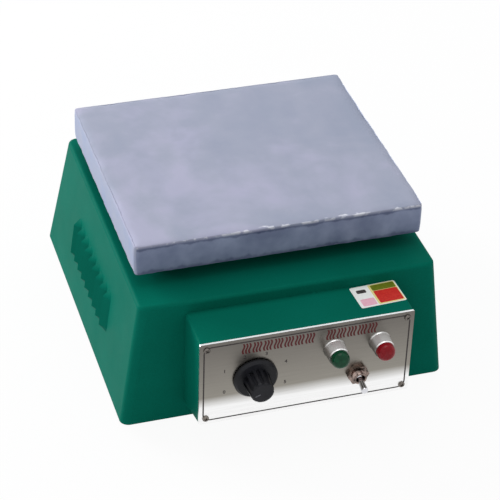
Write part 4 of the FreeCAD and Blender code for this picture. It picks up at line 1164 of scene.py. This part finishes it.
@dataclass
class PlateSkin:
    """The hot plate's skin: its edges are uneven, as cast and fettled by hand."""

    width: float = 254.0
    depth: float = 227.0
    low: float = 143.1
    high: float = 171.8
    y: float = 26.25
    corner: float = 4.5
    edge: float = 1.2
    rim: float = 10.0
    top: float = 14.0
    pitch: float = 3.2
    boss_radius: float = 10.0
    post_radius: float = 7.0
    post_height: float = 8.2
    bosses: tuple[float, float] = (100.0, 85.0)
    posts: tuple[float, float] = (35.0, 70.0)
    ragged: float = 1.6
    wander: float = 0.4
    top_zone: float = 0.5
    side_zone: float = 1.5
    reach: float = 14.0
    noise_scale: float = 0.045
    finer: float = 4.3
    edge_band: float = 5.0
    top_reach: float = 7.0
    foot_reach: float = 3.0
    steps: int = 32
    overlap: float = 0.1

    def build(self) -> None:
        """Makes the skin and puts it in the plain plate's place."""
        shape = bmesh.new()
        self.block(shape)
        self.sliced(shape)
        self.worn(shape)
        self.under(shape)
        piece = finished("plate_skin", shape, [PLATE_PAINT], Rides.CASE, 50.0)
        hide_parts("top_plate")

    def block(self, shape: Shape) -> None:
        """Adds the plate with its round corners, its rim and the hollow under it.

        Args:
            shape: the mesh that it joins.
        """
        made = bmesh.ops.create_cube(shape, size=1.0)
        height = self.high - self.low
        bmesh.ops.scale(shape, vec=(self.width, self.depth, height), verts=made["verts"])
        bmesh.ops.translate(shape, vec=(0, self.y, (self.low + self.high) / 2), verts=made["verts"])
        upright = [edge for edge in shape.edges if abs(edge.verts[0].co.z - edge.verts[1].co.z) > height / 2]
        bmesh.ops.bevel(shape, geom=upright, offset=self.corner, segments=6, profile=0.5, affect="EDGES", material=-1)
        above = [edge for edge in shape.edges if all(vert.co.z > self.high - 0.01 for vert in edge.verts)]
        bmesh.ops.bevel(shape, geom=above, offset=self.edge, segments=3, profile=0.5, affect="EDGES", material=-1)
        below = [face for face in shape.faces if face.normal.z < -0.9]
        bmesh.ops.inset_region(shape, faces=below, thickness=self.rim, use_even_offset=True)
        sunk = bmesh.ops.extrude_face_region(shape, geom=below)
        bmesh.ops.delete(shape, geom=below, context="FACES")
        roof = [item for item in sunk["geom"] if isinstance(item, bmesh.types.BMVert)]
        bmesh.ops.translate(shape, vec=(0, 0, height - self.top), verts=roof)

    def sliced(self, shape: Shape) -> None:
        """Cuts the plate into a fine grid, so that its edges can wander.

        Args:
            shape: the plate's mesh.
        """
        spans = [
            ((1, 0, 0), -self.width / 2, self.width / 2),
            ((0, 1, 0), self.y - self.depth / 2, self.y + self.depth / 2),
            ((0, 0, 1), self.low, self.high),
        ]
        for normal, start, end in spans:
            count = int((end - start) / self.pitch)
            for step in range(1, count):
                at = start + (end - start) * step / count
                plane = Vector(normal) * at
                geometry = list(shape.verts) + list(shape.edges) + list(shape.faces)
                bmesh.ops.bisect_plane(shape, geom=geometry, plane_co=plane, plane_no=normal, dist=0.0001)

    def worn(self, shape: Shape) -> None:
        """Moves the outer points inwards by a smooth random amount, most near the upper and lower edges.

        Args:
            shape: the plate's mesh.
        """
        half_w, half_d = self.width / 2, self.depth / 2
        for vert in shape.verts:
            x, y, z = vert.co.x, vert.co.y - self.y, vert.co.z
            side = min(half_w - abs(x), half_d - abs(y))
            if side > self.reach and z < self.high - self.top_zone:
                continue
            spot = Vector((x, y, z * 1.6)) * self.noise_scale
            broad = 0.5 + 0.5 * noise.noise(spot)
            fine = 0.5 + 0.5 * noise.noise(spot * self.finer)
            amount = self.wander * broad
            upper, lower = self.high - z, z - self.low
            near_top = max(0.0, 1.0 - upper / self.edge_band) * max(0.0, 1.0 - side / self.top_reach)
            near_foot = max(0.0, 1.0 - lower / self.edge_band) * max(0.0, 1.0 - side / self.foot_reach)
            amount += self.ragged * (near_top * (0.35 * broad + 0.65 * fine) + 0.7 * near_foot * fine)
            if z > self.high - self.top_zone:
                vert.co.z -= amount * (0.35 + 0.65 * near_top)
            if side < self.side_zone:
                if half_w - abs(x) < self.side_zone:
                    vert.co.x -= math.copysign(amount, x)
                if half_d - abs(y) < self.side_zone:
                    vert.co.y -= math.copysign(amount, y)

    def under(self, shape: Shape) -> None:
        """Adds the stud bosses and the clamp posts in the hollow.

        Args:
            shape: the mesh that they join.
        """
        roof = self.high - self.top + self.overlap
        for (across, along), radius, foot in (
            (self.bosses, self.boss_radius, self.low),
            (self.posts, self.post_radius, self.high - self.top - self.post_height),
        ):
            for x in (-across, across):
                for y in (-along, along):
                    lathe(shape, [(0.0, foot), (radius, foot), (radius, roof), (0.0, roof)], self.steps,
                          Matrix.Translation((x, self.y + y, 0)))


@dataclass(frozen=True)
class Camera:
    """The camera's place and direction, fitted to the reference view."""

    place: Point = (-432.78, -1330.31, 1085.08)
    forward: Point = (0.25236, 0.77382, -0.58097)
    right: Point = (0.95640, -0.29070, 0.02824)
    focal: float = 138.25
    sensor: float = 36.0
    clip: tuple[float, float] = (0.05, 20.0)

    def build(self) -> None:
        """Makes the camera and puts it in charge."""
        data = bpy.data.cameras.new("portrait")
        data.lens = self.focal
        data.sensor_width = self.sensor
        data.clip_start, data.clip_end = self.clip
        item = placed("portrait", data)
        ahead = Vector(self.forward).normalized()
        across = Vector(self.right)
        across = (across - ahead * across.dot(ahead)).normalized()
        up = across.cross(ahead)
        turn = Matrix((across, up, -ahead)).transposed().to_4x4()
        item.matrix_world = Matrix.Translation(Vector(self.place) * MM) @ turn
        bpy.context.scene.camera = item


@dataclass(frozen=True)
class Softbox:
    """One soft lamp."""

    name: str
    place: Point
    aim: Point
    size: float
    power: float

    def build(self) -> None:
        """Makes the lamp."""
        data = bpy.data.lights.new(self.name, "AREA")
        data.shape = "SQUARE"
        data.size = self.size
        data.energy = self.power
        item = placed(self.name, data)
        item.location = self.place
        item.rotation_euler = (Vector(self.aim) - Vector(self.place)).to_track_quat("-Z", "Y").to_euler()


@dataclass
class Studio:
    """A pale floor, a white surround and soft lamps, the strongest of them on the left."""

    floor_size: float = 6.0
    floor_drop: float = 0.0002
    fill: float = 0.58
    floor_glow: float = 0.94

    def build(self) -> None:
        """Makes the floor, the surround and the lamps."""
        self.floor()
        self.surround()
        for lamp in (
            Softbox("key", (-1.75, 1.9, 1.0), (0.0, 0.0, 0.08), 1.2, 62.0),
            Softbox("top", (-0.1, 0.3, 2.4), (0.0, 0.0, 0.1), 1.6, 13.0),
        ):
            lamp.build()

    def floor(self) -> None:
        """Makes the floor, which is white to the camera but keeps the object's shadow."""
        shape = bmesh.new()
        bmesh.ops.create_grid(shape, x_segments=1, y_segments=1, size=self.floor_size / 2)
        bmesh.ops.translate(shape, vec=(0, 0, -self.floor_drop), verts=shape.verts)
        mesh = bpy.data.meshes.new("floor")
        shape.to_mesh(mesh)
        shape.free()
        graph = Graph("pale_floor")
        graph.set("Base Color", linear((238, 238, 240)))
        graph.set("Roughness", 0.9)
        graph.set("Specular IOR Level", 0.0)
        glow = graph.node("ShaderNodeEmission")
        rays = graph.node("ShaderNodeLightPath")
        blend = graph.node("ShaderNodeMixShader")
        seen = graph.larger(rays.outputs["Is Glossy Ray"], rays.outputs["Is Transmission Ray"])
        share = graph.span(graph.larger(rays.outputs["Is Camera Ray"], seen), 0.0, self.floor_glow)
        graph.join(share, blend.inputs[0])
        graph.join(graph.shader.outputs["BSDF"], blend.inputs[1])
        graph.join(glow.outputs["Emission"], blend.inputs[2])
        output = [item for item in graph.tree.nodes if item.type == "OUTPUT_MATERIAL"][0]
        graph.join(blend.outputs["Shader"], output.inputs["Surface"])
        mesh.materials.append(graph.material)
        placed("floor", mesh)

    def surround(self) -> None:
        """Makes the world: white where it is seen or mirrored, and a plain fill light elsewhere."""
        world = bpy.data.worlds.new("surround")
        world.use_nodes = True
        tree = world.node_tree
        tree.nodes.clear()
        rays = tree.nodes.new("ShaderNodeLightPath")
        seen, mirrored = (tree.nodes.new("ShaderNodeMath") for _ in range(2))
        seen.operation = mirrored.operation = "MAXIMUM"
        tree.links.new(rays.outputs["Is Glossy Ray"], mirrored.inputs[0])
        tree.links.new(rays.outputs["Is Transmission Ray"], mirrored.inputs[1])
        tree.links.new(rays.outputs["Is Camera Ray"], seen.inputs[0])
        tree.links.new(mirrored.outputs["Value"], seen.inputs[1])
        blend = tree.nodes.new("ShaderNodeMixShader")
        tree.links.new(seen.outputs["Value"], blend.inputs[0])
        for socket, strength in enumerate((self.fill, 1.0), start=1):
            light = tree.nodes.new("ShaderNodeBackground")
            light.inputs["Color"].default_value = (1.0, 1.0, 1.0, 1.0)
            light.inputs["Strength"].default_value = strength
            tree.links.new(light.outputs["Background"], blend.inputs[socket])
        output = tree.nodes.new("ShaderNodeOutputWorld")
        tree.links.new(blend.outputs["Shader"], output.inputs["Surface"])
        bpy.context.scene.world = world


def dress_frame() -> None:
    """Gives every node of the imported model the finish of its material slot."""
    slots = {entry["node"]: entry["material_slot"] for entry in frame["record"]["subparts"]}
    for node, item in frame["nodes"].items():
        finish = BEZEL_CHROME if node.endswith("_bezel") else FINISH_OF_SLOT[slots[node]]
        item.data.materials.clear()
        item.data.materials.append(Paints.of(finish))
        LOG.info("dressed %s in %s", node, finish.name)


def panel_screws() -> CrossHeadScrews:
    """Describes the four screws at the panel's corners.

    Returns:
        The screws, ready to be built.
    """
    inset = 6.0
    reach_x, reach_y = PANEL.width / 2 - inset, PANEL.height / 2 - inset
    places = [PANEL.at(x, y, 0.0, 20.0 + x + y) for x in (-reach_x, reach_x) for y in (-reach_y, reach_y)]
    return CrossHeadScrews("panel_corner_screws", "panel_screws", DARK_SCREW, "bright_screw", 1.5, 6.5, places)


def main() -> None:
    """Builds the scene, piece by piece."""
    logging.basicConfig(level=logging.INFO, format="%(name)s: %(message)s")
    bpy.context.scene.view_settings.view_transform = "Standard"
    Camera().build()
    Studio().build()
    dress_frame()
    for assembly in (PanelPrint(), TopLabel(), panel_screws(), KnobMark(), PlateSkin()):
        assembly.build()


if __name__ == "__main__":
    main()
